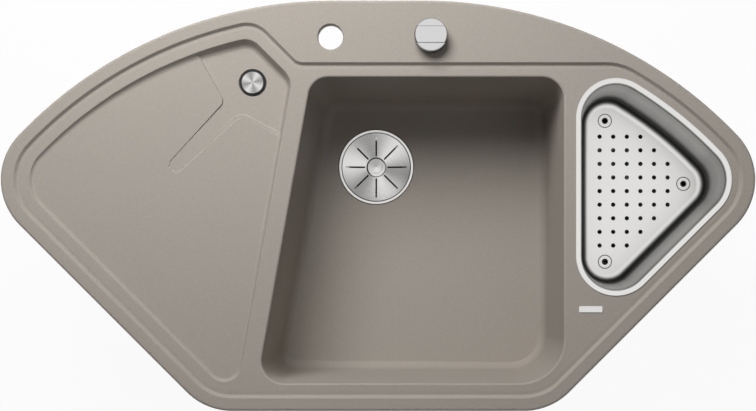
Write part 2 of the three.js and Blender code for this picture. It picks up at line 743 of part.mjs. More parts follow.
function drainerPocket() {
  const drop = PLATEAU - PIT_FLOOR + OVERFLOW_SEAT_DROP;
  const form = flared(drainerCircles(), PLATEAU - drop, PLATEAU, HIGH,
    drop * DRAINER_WALL_RUN, 1);
  const heading = 5 * QUARTER;
  const floorPoint = { ...OVERFLOW, z: drainerPlane(OVERFLOW.x, OVERFLOW.y) };
  const floor = above(floorPoint, DRAINER_SLOPE, heading);
  const corners = PIT_CORNERS.map(({ x, y, r }) => ({ x: OVERFLOW.x + x, y: OVERFLOW.y + y, r }));
  const end = corners[2];
  const run = ((OVERFLOW.x - end.x) + (OVERFLOW.y - end.y)) * Math.SQRT1_2;
  const pitRise = (drainerPlane(end.x, end.y) - PIT_FLOOR) / run;
  const pit = toSolid(prism(roundedPolygon(corners), PLATEAU - drop, HIGH))
    .intersect(above({ ...OVERFLOW, z: PIT_FLOOR }, pitRise, heading));
  return form.intersect(floor.add(pit));
}

function drainerTray() {
  const bottom = { ...OVERFLOW, z: drainerPlane(OVERFLOW.x, OVERFLOW.y) - TRAY_THICKNESS };
  return toSolid(prism(inset(drainerCircles(), -WALL), bottom.z - WALL, PLATE_BOTTOM + PAST))
    .intersect(above(bottom, DRAINER_SLOPE, 5 * QUARTER));
}

function mainBowlCavity() {
  const seat = { ...WASTE, z: BOWL_FLOOR };
  const farCorner = { x: BOWL_RIGHT, y: BOWL_FRONT };
  const heading = Math.atan2(farCorner.y - WASTE.y, farCorner.x - WASTE.x);
  const start = {
    x: WASTE.x + (FLANGE_RADIUS + WALL) * Math.cos(heading),
    y: WASTE.y + (FLANGE_RADIUS + WALL) * Math.sin(heading),
    z: seat.z,
  };
  return bowlForm(bowlCircles(), BOWL_SIZE, 0, HIGH)
    .intersect(above(start, BOWL_FLOOR_SLOPE, heading));
}

function wasteCut() {
  const recess = BOWL_FLOOR - FLANGE_RECESS;
  const coneBottom = recess - CUP_CONE_DROP;
  return turned([
    [0, WASTE_PAD_BOTTOM - PAST],
    [WASTE_HOLE_RADIUS, WASTE_PAD_BOTTOM - PAST],
    [WASTE_HOLE_RADIUS, coneBottom],
    [FLANGE_LIP_INNER + 2 * PLAY, recess],
    [FLANGE_RADIUS + PLAY, recess],
    [FLANGE_RADIUS + PLAY, BOWL_FLOOR + PAST],
    [0, BOWL_FLOOR + PAST],
  ], WASTE);
}

function smallWasteCut() {
  const recess = SMALL_BOWL_FLOOR - FLANGE_RECESS;
  return turned([
    [0, SMALL_PAD_BOTTOM - PAST],
    [SMALL_HOLE_RADIUS, SMALL_PAD_BOTTOM - PAST],
    [SMALL_HOLE_RADIUS, recess - SMALL_CONE_DROP],
    [SMALL_FLANGE_LIP_INNER + PLAY, recess],
    [SMALL_FLANGE_RADIUS + PLAY, recess],
    [SMALL_FLANGE_RADIUS + PLAY, SMALL_BOWL_FLOOR + PAST],
    [0, SMALL_BOWL_FLOOR + PAST],
  ], SMALL_WASTE);
}

function overflowCut() {
  const seat = PIT_FLOOR - OVERFLOW_SEAT_DROP;
  return turned([
    [0, OVERFLOW_PAD_BOTTOM - PAST],
    [OVERFLOW_HOLE_RADIUS, OVERFLOW_PAD_BOTTOM - PAST],
    [OVERFLOW_HOLE_RADIUS, seat],
    [OVERFLOW_SEAT_RADIUS, seat],
    [OVERFLOW_SEAT_RADIUS, PLATEAU],
    [0, PLATEAU],
  ], OVERFLOW);
}

const CLIP_HOLE_RADIUS = bore(CLIP_SCREW_RADIUS + CLEARANCE, TINY_ROUND);
const CLIP_HOLE_TOP = PLATE_BOTTOM - CLIP_HOLE_ROOF;

function clipPlaces() {
  const places = CLIP_FRONT_X.map((x) => ({ x, y: -DEPTH / 2, outward: -Math.PI / 2 }));
  for (const side of [-1, 1]) {
    const outward = side > 0 ? -QUARTER : -3 * QUARTER;
    places.push({
      x: side * (TIP_X + (TIP_RADIUS - CLIP_SIDE_RUN) * Math.SQRT1_2),
      y: TIP_Y - (TIP_RADIUS + CLIP_SIDE_RUN) * Math.SQRT1_2,
      outward,
    });
    const angle = side > 0 ? CLIP_REAR_ANGLE : Math.PI - CLIP_REAR_ANGLE;
    places.push({
      x: side * REAR_FLAT_HALF + REAR_RADIUS * Math.cos(angle),
      y: REAR_CENTRE_Y + REAR_RADIUS * Math.sin(angle),
      outward: angle,
    });
  }
  return places.map(({ x, y, outward }) => ({
    x: x - CLIP_INSET * Math.cos(outward),
    y: y - CLIP_INSET * Math.sin(outward),
    outward,
  }));
}

function sinkBody() {
  const hollowInset = SKIRT_INSET + WALL;
  let body = toSolid(prism(RIM_CIRCLES, RIM_BOTTOM, RIM_TOP))
    .add(toSolid(prism(inset(RIM_CIRCLES, SKIRT_INSET), SKIRT_BOTTOM, RIM_BOTTOM + PAST)))
    .subtract(toSolid(prism(inset(RIM_CIRCLES, hollowInset), SKIRT_BOTTOM - PAST, PLATE_BOTTOM)))
    .add(drainerTray())
    .add(bowlForm(bowlCircles(), BOWL_SIZE, WALL, PLATE_BOTTOM + PAST))
    .add(bowlForm(smallBowlCircles(), SMALL_BOWL_SIZE, WALL, PLATE_BOTTOM + PAST))
    .add(toSolid(cylinder(WASTE_PAD_RADIUS, WASTE_PAD_BOTTOM, BOWL_FLOOR - PAST, WASTE)))
    .add(toSolid(cylinder(SMALL_PAD_RADIUS, SMALL_PAD_BOTTOM, SMALL_BOWL_FLOOR - PAST,
      SMALL_WASTE)))
    .add(toSolid(cylinder(OVERFLOW_PAD_RADIUS, OVERFLOW_PAD_BOTTOM, PIT_FLOOR - PAST, OVERFLOW)));
  for (const place of clipPlaces()) {
    body = body.add(toSolid(
      cylinder(CLIP_BOSS_RADIUS, CLIP_BOSS_BOTTOM, PLATE_BOTTOM + PAST, place, SMALL_ROUND),
    ));
  }
  for (const hole of [TAP_HOLE, KNOB_AXIS]) {
    body = body.add(toSolid(
      cylinder(DECK_PAD_RADIUS, DECK_PAD_BOTTOM, PLATE_BOTTOM + PAST, hole),
    ));
  }
  body = body
    .subtract(flared(stepCircles(), PLATEAU, RIM_TOP, HIGH, STEP_RUN, 1))
    .subtract(drainerPocket())
    .subtract(mainBowlCavity())
    .subtract(bowlForm(smallBowlCircles(), SMALL_BOWL_SIZE, 0, HIGH))
    .subtract(toSolid(wasteCut()))
    .subtract(toSolid(smallWasteCut()))
    .subtract(toSolid(overflowCut()));
  for (const hole of [TAP_HOLE, KNOB_AXIS]) {
    body = body.subtract(toSolid(cylinder(DECK_HOLE_RADIUS, DECK_PAD_BOTTOM - PAST, HIGH, hole)));
  }
  for (const place of clipPlaces()) {
    body = body.subtract(toSolid(cylinder(CLIP_HOLE_RADIUS, CLIP_BOSS_BOTTOM - PAST,
      CLIP_HOLE_TOP, place, TINY_ROUND)));
  }
  return toGeometry(body);
}

function smallBowlCircles() {
  return inset(basketCircles(), LEDGE_WIDTH);
}

function worktopSeal() {
  const outer = toSolid(prism(inset(RIM_CIRCLES, SEAL_INSET), 0, SEAL_HEIGHT));
  const inner = toSolid(prism(inset(RIM_CIRCLES, SEAL_INSET + SEAL_WIDTH), -PAST, RIM_TOP));
  return toGeometry(outer.subtract(inner));
}

function badgePlate() {
  const halfLength = BADGE.length / 2;
  const halfWidth = BADGE.width / 2;
  const [basketFront] = basketCircles();
  const centre = {
    x: BASKET_LEFT + BADGE_FROM_BASKET.x,
    y: basketFront.y - basketFront.r - BADGE_FROM_BASKET.y,
  };
  const corners = [[-1, -1], [1, -1], [1, 1], [-1, 1]].map(([sx, sy]) => ({
    x: centre.x + sx * halfLength,
    y: centre.y + sy * halfWidth,
    r: BADGE.radius,
  }));
  const bottom = PLATEAU + CLEARANCE;
  return prism(roundedPolygon(corners), bottom, bottom + BADGE.thickness);
}

// ---------------------------------------------------------------- clips

// A claw: a strip from the screw out under the worktop, with a tooth at its tip.
function clipClaw(place) {
  const length = CLIP_HEEL + CLIP_ARM_LENGTH;
  const bottom = CLIP_ARM_TOP - CLIP_ARM_THICKNESS;
  const strip = box(length, CLIP_ARM_WIDTH, CLIP_ARM_THICKNESS,
    length / 2 - CLIP_HEEL, 0, (CLIP_ARM_TOP + bottom) / 2);
  const tooth = box(CLIP_ARM_THICKNESS, CLIP_ARM_WIDTH, CLIP_TOOTH_HEIGHT + CLIP_ARM_THICKNESS,
    CLIP_ARM_LENGTH - CLIP_ARM_THICKNESS / 2, 0, (CLIP_ARM_TOP + CLIP_TOOTH_HEIGHT + bottom) / 2);
  const hole = cylinder(CLIP_HOLE_RADIUS, bottom - PAST, CLIP_ARM_TOP + PAST,
    { x: 0, y: 0 }, TINY_ROUND);
  const claw = toGeometry(join(strip, tooth).subtract(toSolid(hole)));
  return claw.rotateZ(place.outward).translate(place.x, place.y, 0);
}

function clipScrew(place) {
  const headTop = CLIP_ARM_TOP - CLIP_ARM_THICKNESS - CLEARANCE;
  const tip = CLIP_HOLE_TOP - CLEARANCE;
  return turned([
    [0, headTop - CLIP_HEAD_HEIGHT],
    [CLIP_HEAD_RADIUS, headTop - CLIP_HEAD_HEIGHT],
    [CLIP_HEAD_RADIUS, headTop],
    [CLIP_SCREW_RADIUS, headTop],
    [CLIP_SCREW_RADIUS, tip - CLIP_SCREW_TIP],
    [0, tip],
  ], place, TINY_ROUND);
}

// ---------------------------------------------------------------- control knob

const ESCUTCHEON_BOTTOM = RIM_TOP + CLEARANCE;
const KNOB_BOTTOM = ESCUTCHEON_BOTTOM + ESCUTCHEON_HEIGHT + CLEARANCE;
const KNOB_TOP = KNOB_BOTTOM + KNOB_HEIGHT;
const HOUSING_BOTTOM = ESCUTCHEON_BOTTOM - HOUSING_DEPTH;
const GEARBOX_BOTTOM = HOUSING_BOTTOM - GEARBOX_HEIGHT;
const SPINDLE_BOTTOM = HOUSING_BOTTOM - SPINDLE_REACH;
const SPINDLE_TOP = KNOB_TOP - KNOB_ROOF;
const SPINDLE_BORE = bore(SPINDLE_RADIUS + CLEARANCE, TINY_ROUND);

// The knob has a raised grip bar across it, a skirt round the escutcheon and a socket.
function controlKnob() {
  const skirt = ESCUTCHEON_RADIUS + 2 * CLEARANCE;
  const whole = toSolid(turned([
    [0, KNOB_BOTTOM],
    [skirt, KNOB_BOTTOM],
    [skirt, RIM_TOP + 2 * CLEARANCE],
    [KNOB_RADIUS, RIM_TOP + 2 * CLEARANCE],
    [KNOB_RADIUS, KNOB_TOP - KNOB_CHAMFER],
    [KNOB_RADIUS - KNOB_CHAMFER, KNOB_TOP],
    [0, KNOB_TOP],
  ], KNOB_AXIS));
  let knob = whole;
  for (const side of [-1, 1]) {
    knob = knob.subtract(toSolid(box(3 * KNOB_RADIUS, KNOB_RADIUS, 2 * GRIP_DROP,
      KNOB_AXIS.x, KNOB_AXIS.y + side * (GRIP_WIDTH + KNOB_RADIUS) / 2, KNOB_TOP)));
  }
  const socket = cylinder(SPINDLE_BORE, KNOB_BOTTOM - PAST, SPINDLE_TOP + CLEARANCE,
    KNOB_AXIS, TINY_ROUND);
  return toGeometry(knob.subtract(toSolid(socket)));
}

function controlSpindle() {
  return cylinder(SPINDLE_RADIUS, SPINDLE_BOTTOM, SPINDLE_TOP, KNOB_AXIS, TINY_ROUND);
}

function controlEscutcheon() {
  return ring(HOUSING_RADIUS + CLEARANCE, ESCUTCHEON_RADIUS, ESCUTCHEON_BOTTOM,
    ESCUTCHEON_BOTTOM + ESCUTCHEON_HEIGHT, KNOB_AXIS);
}

// The threaded neck through the deck, with the gearbox for the cable under it.
function controlHousing() {
  const neck = cylinder(HOUSING_RADIUS, HOUSING_BOTTOM - PAST, KNOB_BOTTOM - CLEARANCE,
    KNOB_AXIS);
  const gearbox = cylinder(GEARBOX_RADIUS, GEARBOX_BOTTOM, HOUSING_BOTTOM, KNOB_AXIS);
  const spindleBore = cylinder(SPINDLE_BORE, SPINDLE_BOTTOM - CLEARANCE, RIM_TOP + HIGH,
    KNOB_AXIS, TINY_ROUND);
  return toGeometry(join(neck, gearbox).subtract(toSolid(spindleBore)));
}

const CONTROL_SEAL_TOP = DECK_PAD_BOTTOM - CLEARANCE;
const CONTROL_SEAL_BOTTOM = CONTROL_SEAL_TOP - HOUSING_SEAL_HEIGHT;

function controlSeal() {
  return ring(HOUSING_RADIUS + CLEARANCE, HOUSING_SEAL_RADIUS, CONTROL_SEAL_BOTTOM,
    CONTROL_SEAL_TOP, KNOB_AXIS);
}

function controlNut() {
  const top = CONTROL_SEAL_BOTTOM - CLEARANCE;
  return ring(HOUSING_RADIUS + CLEARANCE, HOUSING_NUT_RADIUS, top - HOUSING_NUT_HEIGHT, top,
    KNOB_AXIS);
}

// ---------------------------------------------------------------- main waste

const BOLT_BORE = bore(BOLT_RADIUS + CLEARANCE, SMALL_ROUND);

// The steel flange: lip, cone and cup, with a cross in the cup's floor that the bolt holds.
function wasteFlange() {
  const lipBottom = LIP_TOP - FLANGE_SHEET;
  const coneTop = lipBottom - FLANGE_LIP_STRAIGHT;
  const coneBottom = coneTop - CUP_CONE_DROP;
  const whole = toSolid(turned([
    [0, CUP_FLOOR - FLANGE_SHEET],
    [CUP_RADIUS + FLANGE_SHEET, CUP_FLOOR - FLANGE_SHEET],
    [CUP_RADIUS + FLANGE_SHEET, coneBottom - CUP_CONE_SHEET],
    [FLANGE_LIP_INNER + FLANGE_SHEET, coneTop - CUP_CONE_SHEET],
    [FLANGE_LIP_INNER + FLANGE_SHEET, lipBottom],
    [FLANGE_RADIUS, lipBottom],
    [FLANGE_RADIUS, LIP_TOP],
    [FLANGE_LIP_INNER, LIP_TOP],
    [FLANGE_LIP_INNER, coneTop],
    [CUP_RADIUS, coneBottom],
    [CUP_RADIUS, CUP_FLOOR],
    [0, CUP_FLOOR],
  ], WASTE));
  const bottom = CUP_FLOOR - FLANGE_SHEET - PAST;
  const top = CUP_FLOOR + PAST;
  let opening = toSolid(cylinder(CUP_OPENING_RADIUS, bottom, top, WASTE))
    .subtract(toSolid(cylinder(HUB_RADIUS, bottom - PAST, top + PAST, WASTE, SMALL_ROUND)));
  for (const bar of crossBars(bottom - PAST, top + PAST)) {
    opening = opening.subtract(toSolid(bar));
  }
  const boltHole = cylinder(BOLT_BORE, bottom, top, WASTE, SMALL_ROUND);
  return toGeometry(whole.subtract(opening).subtract(toSolid(boltHole)));
}

function crossBars(bottom, top) {
  const length = 2 * POT_RADIUS;
  const z = (top + bottom) / 2;
  return [
    box(length, BRIDGE_BAR, top - bottom, WASTE.x, WASTE.y, z),
    box(BRIDGE_BAR, length, top - bottom, WASTE.x, WASTE.y, z),
  ];
}

function wasteTopSeal() {
  const bottom = BOWL_FLOOR - FLANGE_RECESS + CLEARANCE;
  return ring(FLANGE_LIP_INNER + 2 * FLANGE_SHEET, FLANGE_RADIUS, bottom,
    LIP_TOP - FLANGE_SHEET - CLEARANCE, WASTE);
}

function wasteLowerSeal() {
  return ring(WASTE_HOLE_RADIUS + PLAY, POT_FLANGE_RADIUS - 2 * PLAY, POT_TOP + CLEARANCE,
    WASTE_PAD_BOTTOM - CLEARANCE, WASTE);
}

// The pot under the bowl: spout to the right, overflow port to the left, the bridge that the
// bolt screws into, the lever's gland at the rear and the bracket that holds the cable's end.
const PIVOT_X = WASTE.x - LEVER_ARM;
const POT_INNER = POT_RADIUS - POT_WALL;
const GLAND_START = WASTE.y + Math.sqrt(POT_INNER ** 2 - LEVER_ARM ** 2);
const GLAND_END = GLAND_START + GLAND_LENGTH;
const CRANK_FRONT = GLAND_END + CRANK_GAP;
const CRANK_Y = CRANK_FRONT + CRANK_THICKNESS / 2;
const WIRE_Z = LEVER_Z - CRANK_LENGTH * Math.cos(LEVER_SWING);
const BRACKET_X = WASTE.x;
const SPOUT_END = WASTE.x + POT_RADIUS + SPOUT_LENGTH;
const PORT_END = WASTE.x - POT_RADIUS - PORT_LENGTH;

function wastePot() {
  const innerFloor = POT_BOTTOM + POT_WALL;
  let pot = join(
    cylinder(POT_FLANGE_RADIUS, POT_TOP - POT_FLANGE_HEIGHT, POT_TOP, WASTE),
    cylinder(POT_RADIUS, POT_BOTTOM, POT_TOP - PAST, WASTE),
    cylinderAlongX(PIPE_RADIUS, WASTE.x, SPOUT_END, WASTE.y, PIPE_Z),
    cylinderAlongX(SPIGOT_RADIUS, PORT_END, WASTE.x, WASTE.y, PORT_Z),
    cylinderAlongY(GLAND_RADIUS, WASTE.y, GLAND_END, PIVOT_X, LEVER_Z),
  );
  pot = pot.subtract(toSolid(cylinder(POT_INNER, innerFloor, POT_TOP + PAST, WASTE)));
  const hubTop = CUP_FLOOR - FLANGE_SHEET - HUB_DROP;
  let bridge = toSolid(cylinder(HUB_RADIUS, hubTop - HUB_HEIGHT, hubTop, WASTE, SMALL_ROUND));
  for (const bar of crossBars(hubTop - HUB_HEIGHT, hubTop)) {
    bridge = bridge.add(toSolid(bar).intersect(
      toSolid(cylinder(POT_RADIUS - PAST, POT_BOTTOM, POT_TOP, WASTE)),
    ));
  }
  const bracketFrom = WASTE.y + POT_INNER + PAST;
  const bracketTo = CRANK_Y + BRACKET_PAST_CRANK;
  const bracketBottom = WIRE_Z - BRACKET_BELOW_WIRE;
  const bracketTop = POT_BOTTOM + BRACKET_ABOVE_POT_BOTTOM;
  const bracket = box(BRACKET_THICKNESS, bracketTo - bracketFrom, bracketTop - bracketBottom,
    BRACKET_X, (bracketFrom + bracketTo) / 2, (bracketTop + bracketBottom) / 2);
  const sheathSeat = cylinderAlongX(bore(SHEATH_RADIUS + CLEARANCE, TINY_ROUND),
    BRACKET_X - BRACKET_THICKNESS, BRACKET_X + BRACKET_THICKNESS, CRANK_Y, WIRE_Z, TINY_ROUND);
  const boltBore = cylinder(BOLT_BORE, hubTop - HUB_HEIGHT - PAST, hubTop + PAST, WASTE,
    SMALL_ROUND);
  const spoutBore = cylinderAlongX(PIPE_RADIUS - PIPE_WALL, WASTE.x + POT_INNER - POT_BORE_LEAD,
    SPOUT_END + PAST, WASTE.y, PIPE_Z);
  const portBore = cylinderAlongX(SPIGOT_BORE, PORT_END - PAST,
    WASTE.x - POT_INNER + POT_BORE_LEAD, WASTE.y, PORT_Z);
  const glandBore = cylinderAlongY(bore(LEVER_SHAFT_RADIUS + CLEARANCE, TINY_ROUND),
    GLAND_START - POT_BORE_LEAD, GLAND_END + PAST, PIVOT_X, LEVER_Z, TINY_ROUND);
  return toGeometry(pot.add(bridge).add(toSolid(bracket)).subtract(
    join(sheathSeat, boltBore, spoutBore, portBore, glandBore),
  ));
}

function hollowBolt() {
  const headBottom = CUP_FLOOR + CLEARANCE;
  const headTop = headBottom + BOLT_HEAD_HEIGHT - 2 * CLEARANCE;
  const stemBore = bore(STEM_RADIUS + CLEARANCE, SMALL_ROUND);
  return turned([
    [stemBore, headBottom - BOLT_LENGTH],
    [BOLT_RADIUS, headBottom - BOLT_LENGTH],
    [BOLT_RADIUS, headBottom],
    [BOLT_HEAD_RADIUS, headBottom],
    [BOLT_HEAD_RADIUS, headTop],
    [stemBore, headTop],
    [stemBore, headBottom - BOLT_LENGTH],
  ], WASTE, SMALL_ROUND);
}

function lifterStem() {
  return cylinder(STEM_RADIUS, STEM_BOTTOM, STEM_TOP, WASTE, SMALL_ROUND);
}

// The lever: a shaft along Y, an arm inside under the stem and a slotted crank outside.
// It is drawn level and swung down to its closed place.
function rockerLever() {
  const shaft = cylinderAlongY(LEVER_SHAFT_RADIUS, WASTE.y - LEVER_TIP_RADIUS,
    CRANK_FRONT + CRANK_THICKNESS, 0, 0, TINY_ROUND);
  const arm = box(LEVER_ARM, 2 * LEVER_TIP_RADIUS, LEVER_TIP_RADIUS, LEVER_ARM / 2, WASTE.y, 0);
  const tip = cylinderAlongY(LEVER_TIP_RADIUS, WASTE.y - LEVER_TIP_RADIUS,
    WASTE.y + LEVER_TIP_RADIUS, LEVER_ARM, 0, TINY_ROUND);
  const reach = CRANK_LENGTH + NIPPLE_RADIUS;
  const crank = box(CRANK_BREADTH, CRANK_THICKNESS, reach, 0, CRANK_Y, -reach / 2);
  const slot = box(CRANK_BREADTH + 2 * PAST, 2 * WIRE_RADIUS + CRANK_SLOT_PLAY,
    2 * NIPPLE_RADIUS + CRANK_SLOT_PLAY, 0, CRANK_Y, -CRANK_LENGTH - CRANK_SLOT_PLAY);
  const lever = toGeometry(join(shaft, arm, tip, crank).subtract(toSolid(slot)));
  return lever.rotateY(LEVER_SWING).translate(PIVOT_X, 0, LEVER_Z);
}

// ---------------------------------------------------------------- strainer

// Height of the plate's upper side, from its rim down to the knob.
function plateTop(radius) {
  const share = (PLATE_RADIUS - radius) / (PLATE_RADIUS - PLATE_KNOB_RADIUS);
  return LIP_TOP - PLATE_DISH * (1 - (1 - share) ** 2);
}

function strainerPlate() {
  const radii = [PLATE_RADIUS, ...PLATE_RING_RADII, PLATE_KNOB_RADIUS + CLEARANCE];
  const top = radii.map((radius) => [radius, plateTop(radius)]);
  const bottom = radii.map((radius) => [radius, plateTop(radius) - PLATE_SHEET]);
  let plate = toSolid(turned([...bottom.reverse(), ...top, bottom[0]], WASTE));
  for (let i = 0; i < SLOT_COUNT; i += 1) {
    const middle = (SLOT_INNER + SLOT_OUTER) / 2;
    const slot = box(SLOT_OUTER - SLOT_INNER, SLOT_WIDTH, 4 * PLATE_DISH, middle, 0, 0);
    slot.rotateZ(2 * Math.PI * i / SLOT_COUNT);
    slot.translate(WASTE.x, WASTE.y, LIP_TOP - PLATE_DISH / 2);
    plate = plate.subtract(toSolid(slot));
  }
  return toGeometry(plate);
}

const PLATE_CENTRE_TOP = plateTop(PLATE_KNOB_RADIUS);
const PLATE_CENTRE_BOTTOM = PLATE_CENTRE_TOP - PLATE_SHEET;

function strainerKnob() {
  const r = PLATE_KNOB_RADIUS;
  const top = PLATE_CENTRE_TOP + PLATE_KNOB_HEIGHT;
  return turned([
    [0, PLATE_CENTRE_BOTTOM],
    [r, PLATE_CENTRE_BOTTOM],
    [r, top - PLATE_KNOB_EDGE],
    [r - PLATE_KNOB_EDGE, top],
    [r - PLATE_KNOB_RING, top],
    [0, top - PLATE_KNOB_DISH],
  ], WASTE);
}

function strainerPlug() {
  const post = PLATE_CENTRE_BOTTOM - CLEARANCE;
  return turned([
    [0, PLUG_BOTTOM],
    [PLUG_RADIUS, PLUG_BOTTOM],
    [PLUG_RADIUS, PLUG_BOTTOM + PLUG_HEIGHT],
    [PLUG_POST_RADIUS + PLUG_POST_FILLET, PLUG_BOTTOM + PLUG_HEIGHT],
    [PLUG_POST_RADIUS, PLUG_BOTTOM + PLUG_HEIGHT + PLUG_POST_FILLET],
    [PLUG_POST_RADIUS, post],
    [0, post],
  ], WASTE);
}

function plugSeal() {
  return ring(PLUG_SEAL_INNER, PLUG_SEAL_OUTER, CUP_FLOOR + CLEARANCE, PLUG_SEAL_TOP, WASTE);
}

// ---------------------------------------------------------------- cable

const SHEATH_END = BRACKET_X - BRACKET_THICKNESS / 2 - SHEATH_OVERHANG;
const PULL_ROD_END = PIVOT_X - CRANK_BREADTH / 2 - CRANK_LENGTH * Math.sin(LEVER_SWING)
  - CRANK_SLOT_PLAY;

function cableCurve() {
  const top = new THREE.Vector3(KNOB_AXIS.x, KNOB_AXIS.y, GEARBOX_BOTTOM - CLEARANCE);
  const way = new THREE.Vector3(BRACKET_X, CRANK_Y, WIRE_Z).sub(top);
  const passed = CABLE_SHARES.map((shares) => (
    way.clone().multiply(new THREE.Vector3(...shares)).add(top)
  ));
  return new THREE.CatmullRomCurve3([
    top,
    top.clone().setZ(top.z - SHEATH_LEAD),
    ...passed,
    new THREE.Vector3(SHEATH_END, CRANK_Y, WIRE_Z),
  ]);
}

function cableSheath() {
  return tube(cableCurve(), SHEATH_RADIUS, SHEATH_BORE_RADIUS, SHEATH_SIDES, SHEATH_STEPS);
}

// The stiff end of the cable's inner wire, which slides in the sheath and pulls the crank.
function pullRod() {
  const outer = PULL_ROD_END - NIPPLE_LENGTH;
  return toGeometry(join(
    cylinderAlongX(WIRE_RADIUS, outer + PAST, SHEATH_END + PULL_ROD_REACH, CRANK_Y, WIRE_Z,
      TINY_ROUND),
    cylinderAlongX(NIPPLE_RADIUS, outer, PULL_ROD_END, CRANK_Y, WIRE_Z, TINY_ROUND),
  ));
}

// ---------------------------------------------------------------- small bowl's waste

const SMALL_LIP_TOP = SMALL_BOWL_FLOOR;
const SMALL_TAIL_OUTER = SMALL_TAIL_INNER + SMALL_TAIL_WALL;
const SMALL_TAIL_BOTTOM = SMALL_LIP_TOP - SMALL_TAIL_LENGTH;
const SMALL_DISH_RISE = SMALL_DISH_DROP / (SMALL_FLANGE_LIP_INNER - SMALL_TAIL_OUTER);

function smallFlange() {
  const lipBottom = SMALL_LIP_TOP - FLANGE_SHEET;
  const dish = SMALL_LIP_TOP - SMALL_DISH_DROP;
  return turned([
    [SMALL_TAIL_INNER, SMALL_TAIL_BOTTOM],
    [SMALL_TAIL_OUTER, SMALL_TAIL_BOTTOM],
    [SMALL_TAIL_OUTER, dish - FLANGE_SHEET],
    [SMALL_FLANGE_LIP_INNER, lipBottom],
    [SMALL_FLANGE_RADIUS, lipBottom],
    [SMALL_FLANGE_RADIUS, SMALL_LIP_TOP],
    [SMALL_FLANGE_LIP_INNER, SMALL_LIP_TOP],
    [SMALL_TAIL_OUTER, dish],
    [SMALL_TAIL_INNER, dish],
    [SMALL_TAIL_INNER, SMALL_TAIL_BOTTOM],
  ], SMALL_WASTE);
}

function smallTopSeal() {
  return ring(SMALL_FLANGE_LIP_INNER + PLAY, SMALL_FLANGE_RADIUS,
    SMALL_BOWL_FLOOR - FLANGE_RECESS + CLEARANCE, SMALL_LIP_TOP - FLANGE_SHEET - CLEARANCE,
    SMALL_WASTE);
}

const SMALL_SEAL_TOP = SMALL_PAD_BOTTOM - CLEARANCE;
const SMALL_SEAL_BOTTOM = SMALL_SEAL_TOP - WASTE_SEAL_HEIGHT;
const SMALL_NUT_TOP = SMALL_SEAL_BOTTOM - CLEARANCE;
const SMALL_NUT_BOTTOM = SMALL_NUT_TOP - SMALL_NUT_HEIGHT;

function smallLowerSeal() {
  return ring(SMALL_TAIL_OUTER + CLEARANCE, SMALL_NUT_RADIUS, SMALL_SEAL_BOTTOM, SMALL_SEAL_TOP,
    SMALL_WASTE, SMALL_ROUND);
}

function smallLockNut() {
  return ring(SMALL_TAIL_OUTER + CLEARANCE, SMALL_NUT_RADIUS, SMALL_NUT_BOTTOM, SMALL_NUT_TOP,
    SMALL_WASTE);
}

// A small dished strainer with a finger knob and a ring of holes.
function smallStrainer() {
  const dish = SMALL_LIP_TOP - SMALL_DISH_DROP + 2 * CLEARANCE;
  const rim = dish + (SMALL_STRAINER_RADIUS - SMALL_TAIL_OUTER) * SMALL_DISH_RISE;
  const knobTop = dish + FINGER_KNOB_TOP;
  let strainer = toSolid(turned([
    [0, dish],
    [SMALL_TAIL_OUTER, dish],
    [SMALL_STRAINER_RADIUS, rim],
    [SMALL_STRAINER_RADIUS, rim + FLANGE_SHEET],
    [SMALL_TAIL_OUTER, dish + FLANGE_SHEET],
    [FINGER_KNOB_FOOT_RADIUS, dish + FLANGE_SHEET],
    [FINGER_KNOB_NECK_RADIUS, knobTop - 2 * FINGER_KNOB_HEIGHT],
    [FINGER_KNOB_RADIUS, knobTop - FINGER_KNOB_HEIGHT],
    [FINGER_KNOB_RADIUS, knobTop],
    [0, knobTop],
  ], SMALL_WASTE, SMALL_ROUND));
  for (let i = 0; i < SMALL_STRAINER_HOLES; i += 1) {
    const angle = 2 * Math.PI * i / SMALL_STRAINER_HOLES;
    const place = {
      x: SMALL_WASTE.x + SMALL_STRAINER_HOLE_RING * Math.cos(angle),
      y: SMALL_WASTE.y + SMALL_STRAINER_HOLE_RING * Math.sin(angle),
    };
    strainer = strainer.subtract(toSolid(cylinder(SMALL_STRAINER_HOLE_RADIUS, dish - PAST,
      dish + FLANGE_SHEET + PAST, place, HOLE_SIDES)));
  }
  return toGeometry(strainer);
}

// ---------------------------------------------------------------- overflow

const OVERFLOW_LIP_BOTTOM = PIT_FLOOR - OVERFLOW_SEAT_DROP + CLEARANCE;
const OVERFLOW_LIP_TOP = OVERFLOW_LIP_BOTTOM + OVERFLOW_LIP_HEIGHT;

function overflowInlet() {
  return turned([
    [OVERFLOW_TAIL_INNER, OVERFLOW_TAIL_BOTTOM],
    [OVERFLOW_TAIL_OUTER, OVERFLOW_TAIL_BOTTOM],
    [OVERFLOW_TAIL_OUTER, OVERFLOW_LIP_BOTTOM],
    [OVERFLOW_SEAT_RADIUS - CLEARANCE, OVERFLOW_LIP_BOTTOM],
    [OVERFLOW_SEAT_RADIUS - CLEARANCE, OVERFLOW_LIP_TOP],
    [OVERFLOW_TAIL_OUTER, OVERFLOW_LIP_TOP],
    [OVERFLOW_TAIL_INNER, OVERFLOW_LIP_TOP - OVERFLOW_LIP_CHAMFER],
    [OVERFLOW_TAIL_INNER, OVERFLOW_TAIL_BOTTOM],
  ], OVERFLOW, SMALL_ROUND);
}

